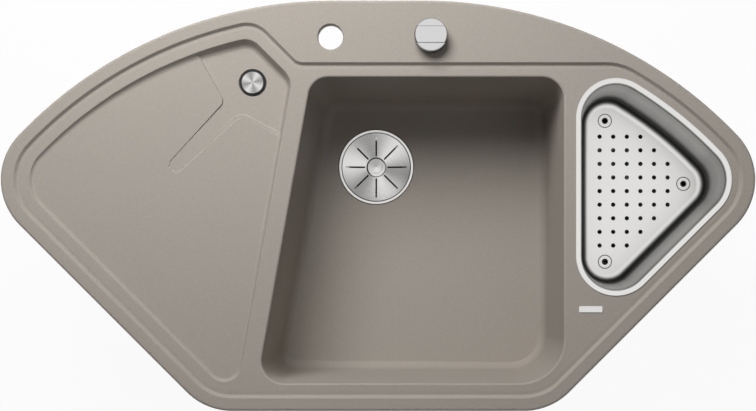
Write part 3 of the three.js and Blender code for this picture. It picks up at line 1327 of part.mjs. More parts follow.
// The cap stands on three pads and has three legs that grip the inlet's bore.
function overflowCap() {
  const bottom = OVERFLOW_LIP_TOP + OVERFLOW_CAP_LIFT;
  const top = bottom + OVERFLOW_CAP_HEIGHT;
  let cap = toSolid(turned([
    [0, bottom],
    [OVERFLOW_CAP_RADIUS, bottom],
    [OVERFLOW_CAP_RADIUS, top - OVERFLOW_CAP_EDGE],
    [OVERFLOW_CAP_RADIUS - OVERFLOW_CAP_EDGE, top],
    [0, top],
  ], OVERFLOW));
  const joinedTop = (bottom + top) / 2;
  const padBottom = OVERFLOW_LIP_TOP + CLEARANCE;
  const { thickness, width, length } = OVERFLOW_CAP_LEG;
  for (let i = 0; i < OVERFLOW_CAP_FEET; i += 1) {
    const angle = 2 * Math.PI * i / OVERFLOW_CAP_FEET;
    const pad = box(OVERFLOW_CAP_PAD, OVERFLOW_CAP_PAD, joinedTop - padBottom,
      OVERFLOW_TAIL_OUTER + PLAY, 0, (joinedTop + padBottom) / 2);
    const leg = box(thickness, width, length, OVERFLOW_TAIL_INNER - thickness, 0,
      joinedTop - length / 2);
    for (const piece of [pad, leg]) {
      piece.rotateZ(angle).translate(OVERFLOW.x, OVERFLOW.y, 0);
      cap = cap.add(toSolid(piece));
    }
  }
  return toGeometry(cap);
}

const OVERFLOW_SEAL_TOP = OVERFLOW_PAD_BOTTOM - CLEARANCE;
const OVERFLOW_SEAL_BOTTOM = OVERFLOW_SEAL_TOP - OVERFLOW_SEAL_HEIGHT;
const OVERFLOW_NUT_TOP = OVERFLOW_SEAL_BOTTOM - CLEARANCE;

function overflowSeal() {
  return ring(OVERFLOW_TAIL_OUTER + CLEARANCE, OVERFLOW_NUT_RADIUS, OVERFLOW_SEAL_BOTTOM,
    OVERFLOW_SEAL_TOP, OVERFLOW, SMALL_ROUND);
}

function overflowNut() {
  return ring(OVERFLOW_TAIL_OUTER + CLEARANCE, OVERFLOW_NUT_RADIUS,
    OVERFLOW_NUT_TOP - OVERFLOW_NUT_HEIGHT, OVERFLOW_NUT_TOP, OVERFLOW, SMALL_ROUND);
}

const SPIGOT_SHOULDER = OVERFLOW_TAIL_BOTTOM - CLEARANCE;
const SPIGOT_NECK_BOTTOM = SPIGOT_SHOULDER - SPIGOT_NECK;
const SPIGOT_BOTTOM = SPIGOT_NECK_BOTTOM - SPIGOT_LENGTH;
const SPIGOT_COLLAR_TOP = OVERFLOW_TAIL_BOTTOM + SPIGOT_COLLAR_LAP;

// The spigot's collar goes over the inlet's tail, and the hose goes over the spigot.
function hoseSpigot() {
  const socket = bore(OVERFLOW_TAIL_OUTER + CLEARANCE, SMALL_ROUND);
  const collar = socket + SPIGOT_COLLAR_WALL;
  return turned([
    [SPIGOT_BORE, SPIGOT_BOTTOM],
    [SPIGOT_RADIUS, SPIGOT_BOTTOM],
    [SPIGOT_RADIUS, SPIGOT_NECK_BOTTOM],
    [collar, SPIGOT_NECK_BOTTOM + SPIGOT_COLLAR_WALL],
    [collar, SPIGOT_COLLAR_TOP],
    [socket, SPIGOT_COLLAR_TOP],
    [socket, SPIGOT_SHOULDER],
    [SPIGOT_BORE, SPIGOT_SHOULDER],
    [SPIGOT_BORE, SPIGOT_BOTTOM],
  ], OVERFLOW, SMALL_ROUND);
}

// The hose runs straight down from the spigot, bends, and runs level into the pot's port.
const HOSE_TOP = SPIGOT_NECK_BOTTOM - CLEARANCE;
const HOSE_END_X = WASTE.x - POT_RADIUS - CLEARANCE;

function hoseCurve() {
  const start = new THREE.Vector3(OVERFLOW.x, OVERFLOW.y, PORT_Z);
  const knee = new THREE.Vector3(PORT_END - HOSE_KNEE, WASTE.y, PORT_Z);
  const toward = knee.clone().setX(knee.x - HOSE_KNEE / 2).sub(start).normalize();
  return new THREE.CatmullRomCurve3([
    start.clone().setZ(HOSE_TOP),
    start.clone().setZ(SPIGOT_BOTTOM),
    start.clone().setZ(PORT_Z + HOSE_BEND + HOSE_STRAIGHT),
    start.clone().addScaledVector(toward, HOSE_BEND / 4).setZ(PORT_Z + HOSE_BEND / 3),
    start.clone().addScaledVector(toward, HOSE_BEND),
    knee,
    knee.clone().setX(PORT_END - HOSE_STRAIGHT),
    knee.clone().setX(HOSE_END_X),
  ]);
}

// Rings of points along the curve: a crest and a valley for each rib, and a plain bore.
function overflowHose() {
  const curve = hoseCurve();
  const rings = 2 * HOSE_RIBS;
  const frames = curve.computeFrenetFrames(rings, false);
  const positions = [];
  const indices = [];
  const addRing = (step, radius) => {
    const centre = curve.getPointAt(step / rings);
    for (let side = 0; side < HOSE_SIDES; side += 1) {
      const angle = 2 * Math.PI * side / HOSE_SIDES;
      const point = centre.clone()
        .addScaledVector(frames.normals[step], radius * Math.cos(angle))
        .addScaledVector(frames.binormals[step], radius * Math.sin(angle));
      positions.push(point.x, point.y, point.z);
    }
    return positions.length / 3 - HOSE_SIDES;
  };
  const joinRings = (first, second) => {
    for (let side = 0; side < HOSE_SIDES; side += 1) {
      const next = (side + 1) % HOSE_SIDES;
      indices.push(first + side, first + next, second + next);
      indices.push(first + side, second + next, second + side);
    }
  };
  const outer = [];
  for (let step = 0; step <= rings; step += 1) {
    outer.push(addRing(step, step % 2 === 1 ? HOSE_CREST_RADIUS : HOSE_VALLEY_RADIUS));
  }
  const inner = [];
  for (let step = 0; step < rings; step += HOSE_BORE_STRIDE) {
    inner.push(addRing(step, HOSE_BORE_RADIUS));
  }
  inner.push(addRing(rings, HOSE_BORE_RADIUS));
  for (let i = 1; i < outer.length; i += 1) joinRings(outer[i - 1], outer[i]);
  for (let i = 1; i < inner.length; i += 1) joinRings(inner[i], inner[i - 1]);
  joinRings(inner[0], outer[0]);
  joinRings(outer[outer.length - 1], inner[inner.length - 1]);
  const geometry = new THREE.BufferGeometry();
  geometry.setAttribute('position', new THREE.Float32BufferAttribute(positions, 3));
  geometry.setIndex(indices);
  geometry.computeVertexNormals();
  return geometry;
}

function upperHoseClamp() {
  const top = HOSE_TOP - HOSE_CLAMP_INSET;
  return ring(HOSE_CREST_RADIUS + CLEARANCE, HOSE_CLAMP_RADIUS, top - HOSE_CLAMP_WIDTH, top,
    OVERFLOW, SMALL_ROUND);
}

function lowerHoseClamp() {
  const from = HOSE_END_X - HOSE_CLAMP_INSET - HOSE_CLAMP_WIDTH;
  return ringAlongX(HOSE_CREST_RADIUS + CLEARANCE, HOSE_CLAMP_RADIUS, from,
    from + HOSE_CLAMP_WIDTH, WASTE.y, PORT_Z);
}

// ---------------------------------------------------------------- pipes

const TEE_X = SPOUT_END + PIPE_END_GAP + PIPE_RADIUS;
const TEE_LEFT = TEE_X - TEE_SOCKET;
const TEE_RIGHT = TEE_X + TEE_SOCKET;
const BRANCH_END = TEE_X + PIPE_RADIUS + PIPE_END_GAP;

// The tee takes the pot's spout on the left and the small bowl's pipe on the right.
function branchTee() {
  const socket = bore(PIPE_RADIUS + CLEARANCE, SMALL_ROUND);
  const centre = { x: TEE_X, y: WASTE.y };
  const outlet = PIPE_Z - TEE_OUTLET_LENGTH;
  return toGeometry(join(
    cylinderAlongX(TEE_RADIUS, TEE_LEFT, TEE_RIGHT, WASTE.y, PIPE_Z),
    cylinder(TEE_RADIUS, outlet, PIPE_Z, centre, SMALL_ROUND),
  ).subtract(join(
    cylinderAlongX(socket, TEE_LEFT - PAST, TEE_RIGHT + PAST, WASTE.y, PIPE_Z),
    cylinder(PIPE_RADIUS - PIPE_WALL, outlet - PAST, PIPE_Z, centre, SMALL_ROUND),
  )));
}

// The small bowl's pipe: down from its tail, round a bend and level to the tee.
function branchPipe() {
  const top = SMALL_TAIL_BOTTOM - CLEARANCE;
  const path = new THREE.CurvePath();
  const corner = new THREE.Vector3(SMALL_WASTE.x, SMALL_WASTE.y, PIPE_Z);
  const bendStart = corner.clone().setZ(PIPE_Z + PIPE_BEND);
  const bendEnd = corner.clone().setX(SMALL_WASTE.x - PIPE_BEND);
  path.add(new THREE.LineCurve3(corner.clone().setZ(top), bendStart));
  path.add(new THREE.QuadraticBezierCurve3(bendStart, corner, bendEnd));
  path.add(new THREE.LineCurve3(bendEnd, corner.clone().setX(BRANCH_END)));
  return tube(path, PIPE_RADIUS, PIPE_RADIUS - PIPE_WALL, PIPE_SIDES, PIPE_STEPS);
}

function unionNut() {
  const middle = SMALL_TAIL_BOTTOM;
  return ring(SMALL_TAIL_OUTER + CLEARANCE, SMALL_TAIL_OUTER + UNION_NUT_WALL,
    middle - SLIP_NUT_LENGTH / 2, middle + SLIP_NUT_LENGTH / 2, SMALL_WASTE, SMALL_ROUND);
}

// A slip nut closes over a socket of the tee, with a rubber cone against the socket's end.
function slipNut(end, side) {
  const throat = end + side * (CONE_SEAL_LENGTH + 2 * CLEARANCE);
  const over = end - side * (SLIP_NUT_LENGTH - CONE_SEAL_LENGTH);
  const face = throat + side * SLIP_NUT_FACE;
  const pipeBore = bore(PIPE_RADIUS + CLEARANCE, SMALL_ROUND);
  const socketBore = bore(TEE_RADIUS + CLEARANCE, SMALL_ROUND);
  const geometry = turned([
    [pipeBore, side * (face - end)],
    [SLIP_NUT_RADIUS, side * (face - end)],
    [SLIP_NUT_RADIUS, side * (over - end)],
    [socketBore, side * (over - end)],
    [socketBore, side * (throat - end)],
    [pipeBore, side * (throat - end)],
    [pipeBore, side * (face - end)],
  ].reverse(), { x: 0, y: 0 }, SMALL_ROUND);
  geometry.rotateY(side * Math.PI / 2);
  return geometry.translate(end, WASTE.y, PIPE_Z);
}

function coneSeal(end, side) {
  const near = end + side * CLEARANCE;
  const far = near + side * CONE_SEAL_LENGTH;
  return ringAlongX(PIPE_RADIUS + CLEARANCE, TEE_RADIUS - CLEARANCE, Math.min(near, far),
    Math.max(near, far), WASTE.y, PIPE_Z);
}

// ---------------------------------------------------------------- steel basket

const BASKET_TOP = PLATEAU + CLEARANCE + BASKET_SHEET;
const BASKET_FLOOR = BASKET_TOP - BASKET_DEPTH;
const BASKET_SIZE = {
  floor: BASKET_FLOOR,
  mouth: BASKET_TOP,
  draft: BASKET_DRAFT,
  fillet: BASKET_FILLET,
  filletHeight: BASKET_FILLET_HEIGHT,
};

function footPlaces() {
  const corners = basketCircles().filter(({ r }) => r < REAR_RADIUS / 2);
  const middleX = corners.reduce((sum, { x }) => sum + x, 0) / corners.length;
  const middleY = corners.reduce((sum, { y }) => sum + y, 0) / corners.length;
  return corners.map(({ x, y }) => {
    const reach = Math.hypot(x - middleX, y - middleY);
    return {
      x: x + FOOT_SHIFT * (x - middleX) / reach,
      y: y + FOOT_SHIFT * (y - middleY) / reach,
    };
  });
}

function basketShell() {
  const mouth = inset(basketCircles(), BASKET_RIM_WIDTH);
  const rim = toSolid(prism(basketCircles(), BASKET_TOP - BASKET_SHEET, BASKET_TOP));
  const outer = bowlForm(mouth, BASKET_SIZE, BASKET_SHEET, BASKET_TOP + PAST)
    .intersect(toSolid(slab(BASKET_FLOOR - HIGH, BASKET_TOP)));
  let shell = rim.add(outer).subtract(bowlForm(mouth, BASKET_SIZE, 0, HIGH));
  const cut = (radius, place, sides) => toSolid(cylinder(radius,
    BASKET_FLOOR - BASKET_SHEET - PAST, BASKET_FLOOR + PAST, place, sides));
  const [, , , rearCorner] = basketCircles();
  HOLE_ROWS.forEach((count, row) => {
    for (let column = 0; column < count; column += 1) {
      const place = {
        x: BASKET_LEFT + HOLE_FROM_LEFT + column * HOLE_PITCH,
        y: rearCorner.y - HOLE_FROM_CORNER - row * HOLE_PITCH,
      };
      shell = shell.subtract(cut(HOLE_RADIUS, place, HOLE_SIDES));
    }
  });
  for (const place of footPlaces()) {
    shell = shell.subtract(cut(FOOT_NECK_RADIUS + CLEARANCE, place, TINY_ROUND));
  }
  return toGeometry(shell);
}

// A foot: a hollow rivet through the basket's floor with a round pad under it.
function basketFoot(place) {
  const padTop = BASKET_FLOOR - BASKET_SHEET - CLEARANCE;
  return turned([
    [FOOT_BORE_RADIUS, padTop - FOOT_HEIGHT],
    [FOOT_RADIUS - FOOT_CHAMFER, padTop - FOOT_HEIGHT],
    [FOOT_RADIUS, padTop - FOOT_HEIGHT + FOOT_CHAMFER],
    [FOOT_RADIUS, padTop],
    [FOOT_NECK_RADIUS, padTop],
    [FOOT_NECK_RADIUS, BASKET_FLOOR],
    [FOOT_BORE_RADIUS, BASKET_FLOOR],
    [FOOT_BORE_RADIUS, padTop - FOOT_HEIGHT],
  ], place, TINY_ROUND);
}

// ---------------------------------------------------------------- the assembly

const MATERIALS = {
  composite: { color: 0xa09488, roughness: 0.55, metalness: 0 },
  steel: { color: 0xc8c8c8, roughness: 0.3, metalness: 1 },
  polished: { color: 0xd8d8da, roughness: 0.15, metalness: 1 },
  zinc: { color: 0xa8acb0, roughness: 0.45, metalness: 1 },
  brass: { color: 0xb59a55, roughness: 0.35, metalness: 1 },
  blackPlastic: { color: 0x1d1d1f, roughness: 0.5, metalness: 0 },
  whitePlastic: { color: 0xd9d9d6, roughness: 0.45, metalness: 0 },
  greyPlastic: { color: 0x8a8c8e, roughness: 0.5, metalness: 0 },
  rubber: { color: 0x26262a, roughness: 0.85, metalness: 0 },
};

const sink = new THREE.Group();
sink.name = 'corner_kitchen_sink';

function add(name, geometry, material) {
  const mesh = new THREE.Mesh(geometry, new THREE.MeshStandardMaterial(MATERIALS[material]));
  mesh.name = name;
  sink.add(mesh);
}

add('sink_body', sinkBody(), 'composite');
add('name_plate', badgePlate(), 'steel');
add('worktop_seal', worktopSeal(), 'rubber');

clipPlaces().forEach((place, i) => {
  add(`clip_claw_${i + 1}`, clipClaw(place), 'zinc');
  add(`clip_screw_${i + 1}`, clipScrew(place), 'zinc');
});

add('control_knob', controlKnob(), 'polished');
add('control_spindle', controlSpindle(), 'brass');
add('control_escutcheon', controlEscutcheon(), 'blackPlastic');
add('control_housing', controlHousing(), 'blackPlastic');
add('control_seal', controlSeal(), 'rubber');
add('control_lock_nut', controlNut(), 'brass');
add('cable_sheath', cableSheath(), 'blackPlastic');
add('cable_pull_rod', pullRod(), 'zinc');

add('waste_flange', wasteFlange(), 'steel');
add('waste_top_seal', wasteTopSeal(), 'rubber');
add('waste_lower_seal', wasteLowerSeal(), 'rubber');
add('waste_pot', wastePot(), 'whitePlastic');
add('waste_hollow_bolt', hollowBolt(), 'brass');
add('waste_lifter_stem', lifterStem(), 'polished');
add('waste_rocker_lever', rockerLever(), 'zinc');
add('strainer_plate', strainerPlate(), 'steel');
add('strainer_knob', strainerKnob(), 'polished');
add('strainer_plug', strainerPlug(), 'greyPlastic');
add('strainer_plug_seal', plugSeal(), 'rubber');

add('small_waste_flange', smallFlange(), 'steel');
add('small_waste_top_seal', smallTopSeal(), 'rubber');
add('small_waste_lower_seal', smallLowerSeal(), 'rubber');
add('small_waste_lock_nut', smallLockNut(), 'whitePlastic');
add('small_waste_strainer', smallStrainer(), 'steel');

add('overflow_inlet', overflowInlet(), 'blackPlastic');
add('overflow_cap', overflowCap(), 'steel');
add('overflow_seal', overflowSeal(), 'rubber');
add('overflow_lock_nut', overflowNut(), 'whitePlastic');
add('overflow_hose_spigot', hoseSpigot(), 'whitePlastic');
add('overflow_hose', overflowHose(), 'greyPlastic');
add('hose_clamp_upper', upperHoseClamp(), 'zinc');
add('hose_clamp_lower', lowerHoseClamp(), 'zinc');

add('waste_tee', branchTee(), 'whitePlastic');
add('branch_pipe', branchPipe(), 'whitePlastic');
add('branch_union_nut', unionNut(), 'whitePlastic');
[['pot', TEE_LEFT, -1], ['branch', TEE_RIGHT, 1]].forEach(([name, end, side]) => {
  add(`slip_nut_${name}`, slipNut(end, side), 'whitePlastic');
  add(`cone_seal_${name}`, coneSeal(end, side), 'rubber');
});

add('basket_shell', basketShell(), 'steel');
footPlaces().forEach((place, i) => {
  add(`basket_foot_${i + 1}`, basketFoot(place), 'blackPlastic');
});

export default sink;
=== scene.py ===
import math

import bmesh
import bpy
from bpy.props import FloatProperty, FloatVectorProperty, IntProperty, PointerProperty
from mathutils import Matrix, Vector


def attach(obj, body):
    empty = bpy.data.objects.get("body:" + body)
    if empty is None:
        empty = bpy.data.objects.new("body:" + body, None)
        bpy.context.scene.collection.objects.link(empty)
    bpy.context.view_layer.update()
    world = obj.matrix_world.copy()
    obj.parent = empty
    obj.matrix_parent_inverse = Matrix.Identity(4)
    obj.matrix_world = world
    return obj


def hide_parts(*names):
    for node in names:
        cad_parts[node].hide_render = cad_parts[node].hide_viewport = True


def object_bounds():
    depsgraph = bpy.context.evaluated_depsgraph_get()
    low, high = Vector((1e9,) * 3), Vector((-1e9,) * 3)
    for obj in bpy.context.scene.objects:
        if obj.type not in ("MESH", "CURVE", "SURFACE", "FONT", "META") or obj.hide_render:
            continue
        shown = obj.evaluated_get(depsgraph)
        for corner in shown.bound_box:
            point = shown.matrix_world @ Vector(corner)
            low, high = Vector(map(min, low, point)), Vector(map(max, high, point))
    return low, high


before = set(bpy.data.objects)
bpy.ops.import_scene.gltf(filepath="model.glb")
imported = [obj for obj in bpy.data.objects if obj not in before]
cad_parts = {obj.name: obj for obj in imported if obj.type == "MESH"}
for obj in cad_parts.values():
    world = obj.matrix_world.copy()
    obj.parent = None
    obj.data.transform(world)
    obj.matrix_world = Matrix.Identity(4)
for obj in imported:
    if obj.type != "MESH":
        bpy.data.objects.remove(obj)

bl_info = {
    "name": "Corner Kitchen Sink",
    "version": (1, 0, 0),
    "blender": (4, 5, 0),
    "location": "3D View > Sidebar > Corner Sink",
    "description": "Builds a moulded corner kitchen sink with its steel basket and waste",
    "category": "Add Mesh",
}

CAD_BOX = [list(corner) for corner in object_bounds()]
MM = 0.001
QUARTER = math.pi / 4
DIAGONAL = math.sqrt(0.5)        # what a 45 degree run goes across, for each millimetre of it

# ---------------------------------------------------------------- sizes, in millimetres
# Heights are above the worktop. The origin is the middle of the rim's outline.

WIDTH = 1057
DEPTH = 575
RIM_TOP = 9
PLATEAU = 5                      # top of the drainer's and the bowls' surround
PLATE_BOTTOM = -3
WALL = 8
FLOOR_WALL = 11                  # of the drainer's floor
CLEAR = 30                       # height that every cutter starts at, above the rim

TIP_RADIUS = 90
REAR_FLAT_HALF = 63.5
SIDE_RUN = 234.1
TIP_X = WIDTH / 2 - TIP_RADIUS
FRONT_Y = TIP_RADIUS - DEPTH / 2
TIP_Y = FRONT_Y + SIDE_RUN
FRONT_X = TIP_X - SIDE_RUN
REAR_ACROSS = TIP_X - REAR_FLAT_HALF
REAR_DOWN = DEPTH / 2 - TIP_Y
REAR_RADIUS = ((REAR_ACROSS ** 2 + REAR_DOWN ** 2 - TIP_RADIUS ** 2)
               / (2 * (REAR_DOWN - TIP_RADIUS)))
REAR_Y = DEPTH / 2 - REAR_RADIUS

DECK_LEFT = -112
DECK_FRONT = DEPTH / 2 - 87
DECK_CORNERS = (80, 18, 40)      # right end, middle and left end of the deck's front edge
STEP_INSET = 18.2
DRAINER_INSET = 39.8
DRAINER_CORNERS = (25, 30, 27)   # by the bowl in front, by the bowl behind, at the rear
DRAINER_TO_BOWL = 26
DRAINER_DROP = 3.5
DRAINER_SLOPE = 0.013
DRAINER_LIP = 1.2
WALL_RUN = 0.68                  # of the drainer's edge, for each millimetre of drop
FOOT_RADIUS = 4.2
BOWL_SIDE_STEEPER = 0.3          # share by which the drainer's edge is steeper there
OVERFLOW = (DECK_LEFT - 65, DECK_FRONT - 26.5)
PIT_FLOOR = -6
PIT_REACH = (137, 133)           # from the overflow to the far end of the pit's floor
PIT_CORNERS = [(-104.7, 87, 3), (-40, -27, 11), (-117.3, -113.3, 4), (-106.8, -124.4, 4),
               (-17, -46, 14), (94.2, -106.2, 3), (94.2, 116, 3)]   # from the overflow
LEDGE_DROP = 1.1
WALLS_APART = 0.15               # so that no two of the drainer's cutters share a wall

BOWL_REAR = DECK_FRONT - 20.2
BOWL_FRONT = 38.7 - DEPTH / 2
BOWL_RIGHT = WIDTH / 2 - 267.8
BOWL_LEFT = DECK_LEFT + 18.5
BOWL_LEAN = math.radians(10)
BOWL_CORNERS = (31, 63, 31, 28)  # front left, front right, rear right, rear left
BOWL_FLOOR = RIM_TOP - 190
BOWL_FALL = 0.01                 # of the floor towards the waste
WASTE_FLAT = 65.5                # radius of the level floor round the waste
BOWL_SHAPE = (BOWL_FLOOR, 8)     # floor and draft
SMALL_BOWL_SHAPE = (RIM_TOP - 130, 6)
SMALL_BOWL_INSET = 6             # inside the basket's outline
WASTE = (BOWL_LEFT + 84.7, BOWL_REAR - 109.3)

BASKET_INSET = 32.9
BASKET_LEFT = BOWL_RIGHT + 16.6
BASKET_CORNER = 56
BASKET_TOP = 6.5
BASKET_FLOOR = -81.5
HOLE_ROWS = [4, 5, 6, 6, 6, 6, 5, 4, 3]
HOLE_PITCH = 20
FOOT_OUTWARDS = 7.5              # from the middle of a corner's rounding
SMALL_WASTE = (BASKET_LEFT + 67.7, WASTE[1])

TAP = (DECK_LEFT + 45.5, DEPTH / 2 - 51.5)
KNOB = (TAP[0] + 140.5, TAP[1])
CLIP_INSET = 28

POT_TOP = -198.6
POT_BOTTOM = -250.6
PIPE_Z = -227.6
PORT_Z = -219.6
TEE_X = 119.2
LEVER_X = WASTE[0] - 30
LEVER_Z = -229.825
WIRE_Z = -244.68
CRANK_Y = 123.53


# ---------------------------------------------------------------- outlines

def outline(circles):
    """A belt round circles, run anticlockwise: each mark is a centre, a radius and a heading.
    A negative radius is passed on its far side and makes a hollow corner."""
    headings = []
    for i, (x, y, r) in enumerate(circles):
        to_x, to_y, to_r = circles[(i + 1) % len(circles)]
        lean = (to_r - r) / math.hypot(to_x - x, to_y - y)
        headings.append(math.atan2(to_y - y, to_x - x) - math.asin(max(-1, min(1, lean))))
    marks = []
    for i, (x, y, r) in enumerate(circles):
        turn = (headings[i] - headings[i - 1]) % (2 * math.pi)
        if turn > math.pi:
            turn -= 2 * math.pi
        step = 2 * math.acos(1 - 0.05 / max(abs(r), 0.8))
        parts = max(2, math.ceil(abs(turn) / step))
        marks += [(x, y, r, headings[i - 1] + turn * part / parts) for part in range(parts + 1)]
    return marks


def drawn_in(marks, distance, height):
    """The points of an outline drawn in by a distance, at a height. Each may be a list."""
    distances = distance if isinstance(distance, list) else [distance] * len(marks)
    heights = height if isinstance(height, list) else [height] * len(marks)
    return [Vector((x + (r - d) * math.sin(h), y - (r - d) * math.cos(h), z)) * MM
            for (x, y, r, h), d, z in zip(marks, distances, heights)]


def laid(ring, plane):
    """A ring whose points are moved up or down to a plane."""
    for point in ring:
        point.z = plane(point.x / MM, point.y / MM) * MM
    return ring


def heights_along(marks, distance, plane):
    """A plane's heights under an outline that is drawn in by a distance."""
    return [plane(x + (r - distance) * math.sin(h), y - (r - distance) * math.cos(h))
            for x, y, r, h in marks]


def corner_circles(*corners):
    """The circles in the corners of a polygon, each given by its place and radius."""
    circles = []
    for i, (x, y, r) in enumerate(corners):
        before, after = corners[i - 1], corners[(i + 1) % len(corners)]
        in_x, in_y = x - before[0], y - before[1]
        out_x, out_y = after[0] - x, after[1] - y
        heading = math.atan2(in_y, in_x)
        turn = math.atan2(in_x * out_y - in_y * out_x, in_x * out_x + in_y * out_y)
        radius = math.copysign(r, turn)
        back = r * math.tan(abs(turn) / 2)
        circles.append((x - back * math.cos(heading) - radius * math.sin(heading),
                        y - back * math.sin(heading) + radius * math.cos(heading), radius))
    return circles


def polygon(*corners):
    """The outline of a polygon with rounded corners, run anticlockwise."""
    return outline(corner_circles(*corners))


def corner_in_arc(big, start, heading, r, side):
    """The circle inside a big circle and to the left of a line, at its far or near meeting."""
    x0 = start[0] - r * math.sin(heading) - big[0]
    y0 = start[1] + r * math.cos(heading) - big[1]
    along = x0 * math.cos(heading) + y0 * math.sin(heading)
    t = -along + side * math.sqrt(along ** 2 - x0 ** 2 - y0 ** 2 + (big[2] - r) ** 2)
    return big[0] + x0 + t * math.cos(heading), big[1] + y0 + t * math.sin(heading), r


def meeting(a, heading_a, b, heading_b):
    """Where two lines meet, each given by a point and a heading."""
    cross = math.sin(heading_b - heading_a)
    t = ((b[0] - a[0]) * math.sin(heading_b) - (b[1] - a[1]) * math.cos(heading_b)) / cross
    return a[0] + t * math.cos(heading_a), a[1] + t * math.sin(heading_a)


RIM = {
    "front_left": (-FRONT_X, FRONT_Y, TIP_RADIUS),
    "front_right": (FRONT_X, FRONT_Y, TIP_RADIUS),
    "tip_right": (TIP_X, TIP_Y, TIP_RADIUS),
    "rear_right": (REAR_FLAT_HALF, REAR_Y, REAR_RADIUS),
    "rear_left": (-REAR_FLAT_HALF, REAR_Y, REAR_RADIUS),
    "tip_left": (-TIP_X, TIP_Y, TIP_RADIUS),
}


def rim_circle(name, inset):
    """A circle of the rim's outline, drawn in by an inset."""
    x, y, r = RIM[name]
    return x, y, r - inset


def step_outline():
    """The upper edge of the rim's step, which leaves the rim for the tap deck."""
    edge = {name: rim_circle(name, STEP_INSET) for name in RIM}
    corner = (DECK_LEFT, DECK_FRONT)
    right, middle, left = DECK_CORNERS
    return outline([
        edge["front_left"], edge["front_right"], edge["tip_right"], edge["rear_right"],
        corner_in_arc(edge["rear_right"], corner, math.pi, right, -1),
        (DECK_LEFT + middle * math.tan(QUARTER / 2), DECK_FRONT + middle, -middle),
        corner_in_arc(edge["rear_left"], corner, 3 * QUARTER, left, 1),
        edge["rear_left"], edge["tip_left"],
    ])


def bowl_left_at(y):
    return BOWL_LEFT + (y - BOWL_REAR) * math.tan(BOWL_LEAN)


def drainer_outline():
    """The upper edge of the drainer's recess."""
    band = (DRAINER_INSET - STEP_INSET) * DIAGONAL
    rear, tip = rim_circle("rear_left", DRAINER_INSET), rim_circle("tip_left", DRAINER_INSET)
    diagonal = (DECK_LEFT - band, DECK_FRONT - band)
    side = (bowl_left_at(BOWL_FRONT) - DRAINER_TO_BOWL / math.cos(BOWL_LEAN), BOWL_FRONT)
    slant = (tip[0] - tip[2] * DIAGONAL, tip[1] - tip[2] * DIAGONAL)
    up = math.pi / 2 - BOWL_LEAN
    bottom = meeting(side, up, slant, -QUARTER)
    top = meeting(side, up, diagonal, 3 * QUARTER)
    front_corner, rear_corner, peak_corner = DRAINER_CORNERS
    peak = corner_in_arc(rear, diagonal, 3 * QUARTER, peak_corner, 1)
    corners = corner_circles((*bottom, front_corner), (*top, rear_corner),
                             (peak[0], top[1] + top[0] - peak[0], 0), (*slant, 0))
    return outline([corners[0], corners[1], peak, rear, tip])


def bowl_outline():
    ends = ((bowl_left_at(BOWL_FRONT), BOWL_FRONT), (BOWL_RIGHT, BOWL_FRONT),
            (BOWL_RIGHT, BOWL_REAR), (BOWL_LEFT, BOWL_REAR))
    return polygon(*[(*end, r) for end, r in zip(ends, BOWL_CORNERS)])


def basket_circles():
    tip, rear = rim_circle("tip_right", BASKET_INSET), rim_circle("rear_right", BASKET_INSET)
    x = BASKET_LEFT + BASKET_CORNER
    front_y = tip[1] + x - tip[0] - (tip[2] - BASKET_CORNER) * math.sqrt(2)
    rear_y = rear[1] + math.sqrt((rear[2] - BASKET_CORNER) ** 2 - (x - rear[0]) ** 2)
    return [(x, front_y, BASKET_CORNER), tip, rear, (x, rear_y, BASKET_CORNER)]


def foot_places():
    """Where the basket's feet stand, and where their dimples are in its floor."""
    corners = [(x, y) for x, y, r in basket_circles() if r < REAR_RADIUS / 2]
    middle = [sum(part) / len(corners) for part in zip(*corners)]
    places = []
    for x, y in corners:
        across, up = x - middle[0], y - middle[1]
        out = FOOT_OUTWARDS / math.hypot(across, up)
        places.append((x + across * out, y + up * out))
    return places


def clip_places():
    """Where the clips hang: x, y and the heading that each arm points to."""
    side_run, rear_angle = 160, math.radians(62)
    places = [(x, -DEPTH / 2, -math.pi / 2) for x in (-60, 150)]
    for side in (-1, 1):
        places.append((side * (TIP_X + (TIP_RADIUS - side_run) * DIAGONAL),
                       TIP_Y - (TIP_RADIUS + side_run) * DIAGONAL, (side - 2) * QUARTER))
        angle = rear_angle if side > 0 else math.pi - rear_angle
        places.append((side * REAR_FLAT_HALF + REAR_RADIUS * math.cos(angle),
                       REAR_Y + REAR_RADIUS * math.sin(angle), angle))
    return [(x - CLIP_INSET * math.cos(a), y - CLIP_INSET * math.sin(a), a)
            for x, y, a in places]


# ---------------------------------------------------------------- profiles
# A profile's point is a radius or a distance inwards, a height and, in most, its rounding.

def quarter(parts, start=0.0):
    """The run and rise of a quarter circle, each from 0 to 1."""
    angles = [math.pi / 2 * (part + start) / (parts + start) for part in range(parts + 1)]
    return [(1 - math.cos(angle), math.sin(angle)) for angle in angles]


def filleted(corners, closed=True, steps=4):
    """Rounds a profile: a corner's third number is its radius."""
    points = []
    for i, corner in enumerate(corners):
        here = Vector(corner[:2])
        if len(corner) < 3 or (not closed and i in (0, len(corners) - 1)):
            points.append(tuple(here))
            continue
        before = Vector(corners[i - 1][:2]) - here
        after = Vector(corners[(i + 1) % len(corners)][:2]) - here
        half = before.angle(after) / 2
        back = min(corner[2] / math.tan(half), 0.49 * before.length, 0.49 * after.length)
        start, end = here + before.normalized() * back, here + after.normalized() * back
        middle = (before.normalized() + after.normalized()).normalized()
        centre = here + middle * back / math.cos(half)
        radius = back * math.tan(half)
        first = start - centre
        sweep = first.angle_signed(end - centre)
        for step in range(steps + 1):
            arm = Matrix.Rotation(-sweep * step / steps, 2) @ first
            points.append(tuple(centre + arm.normalized() * radius))
    return points


def ring_profile(inner, outer, bottom, top, rounding):
    return [(inner, bottom, rounding), (outer, bottom, rounding), (outer, top, rounding),
            (inner, top, rounding)]


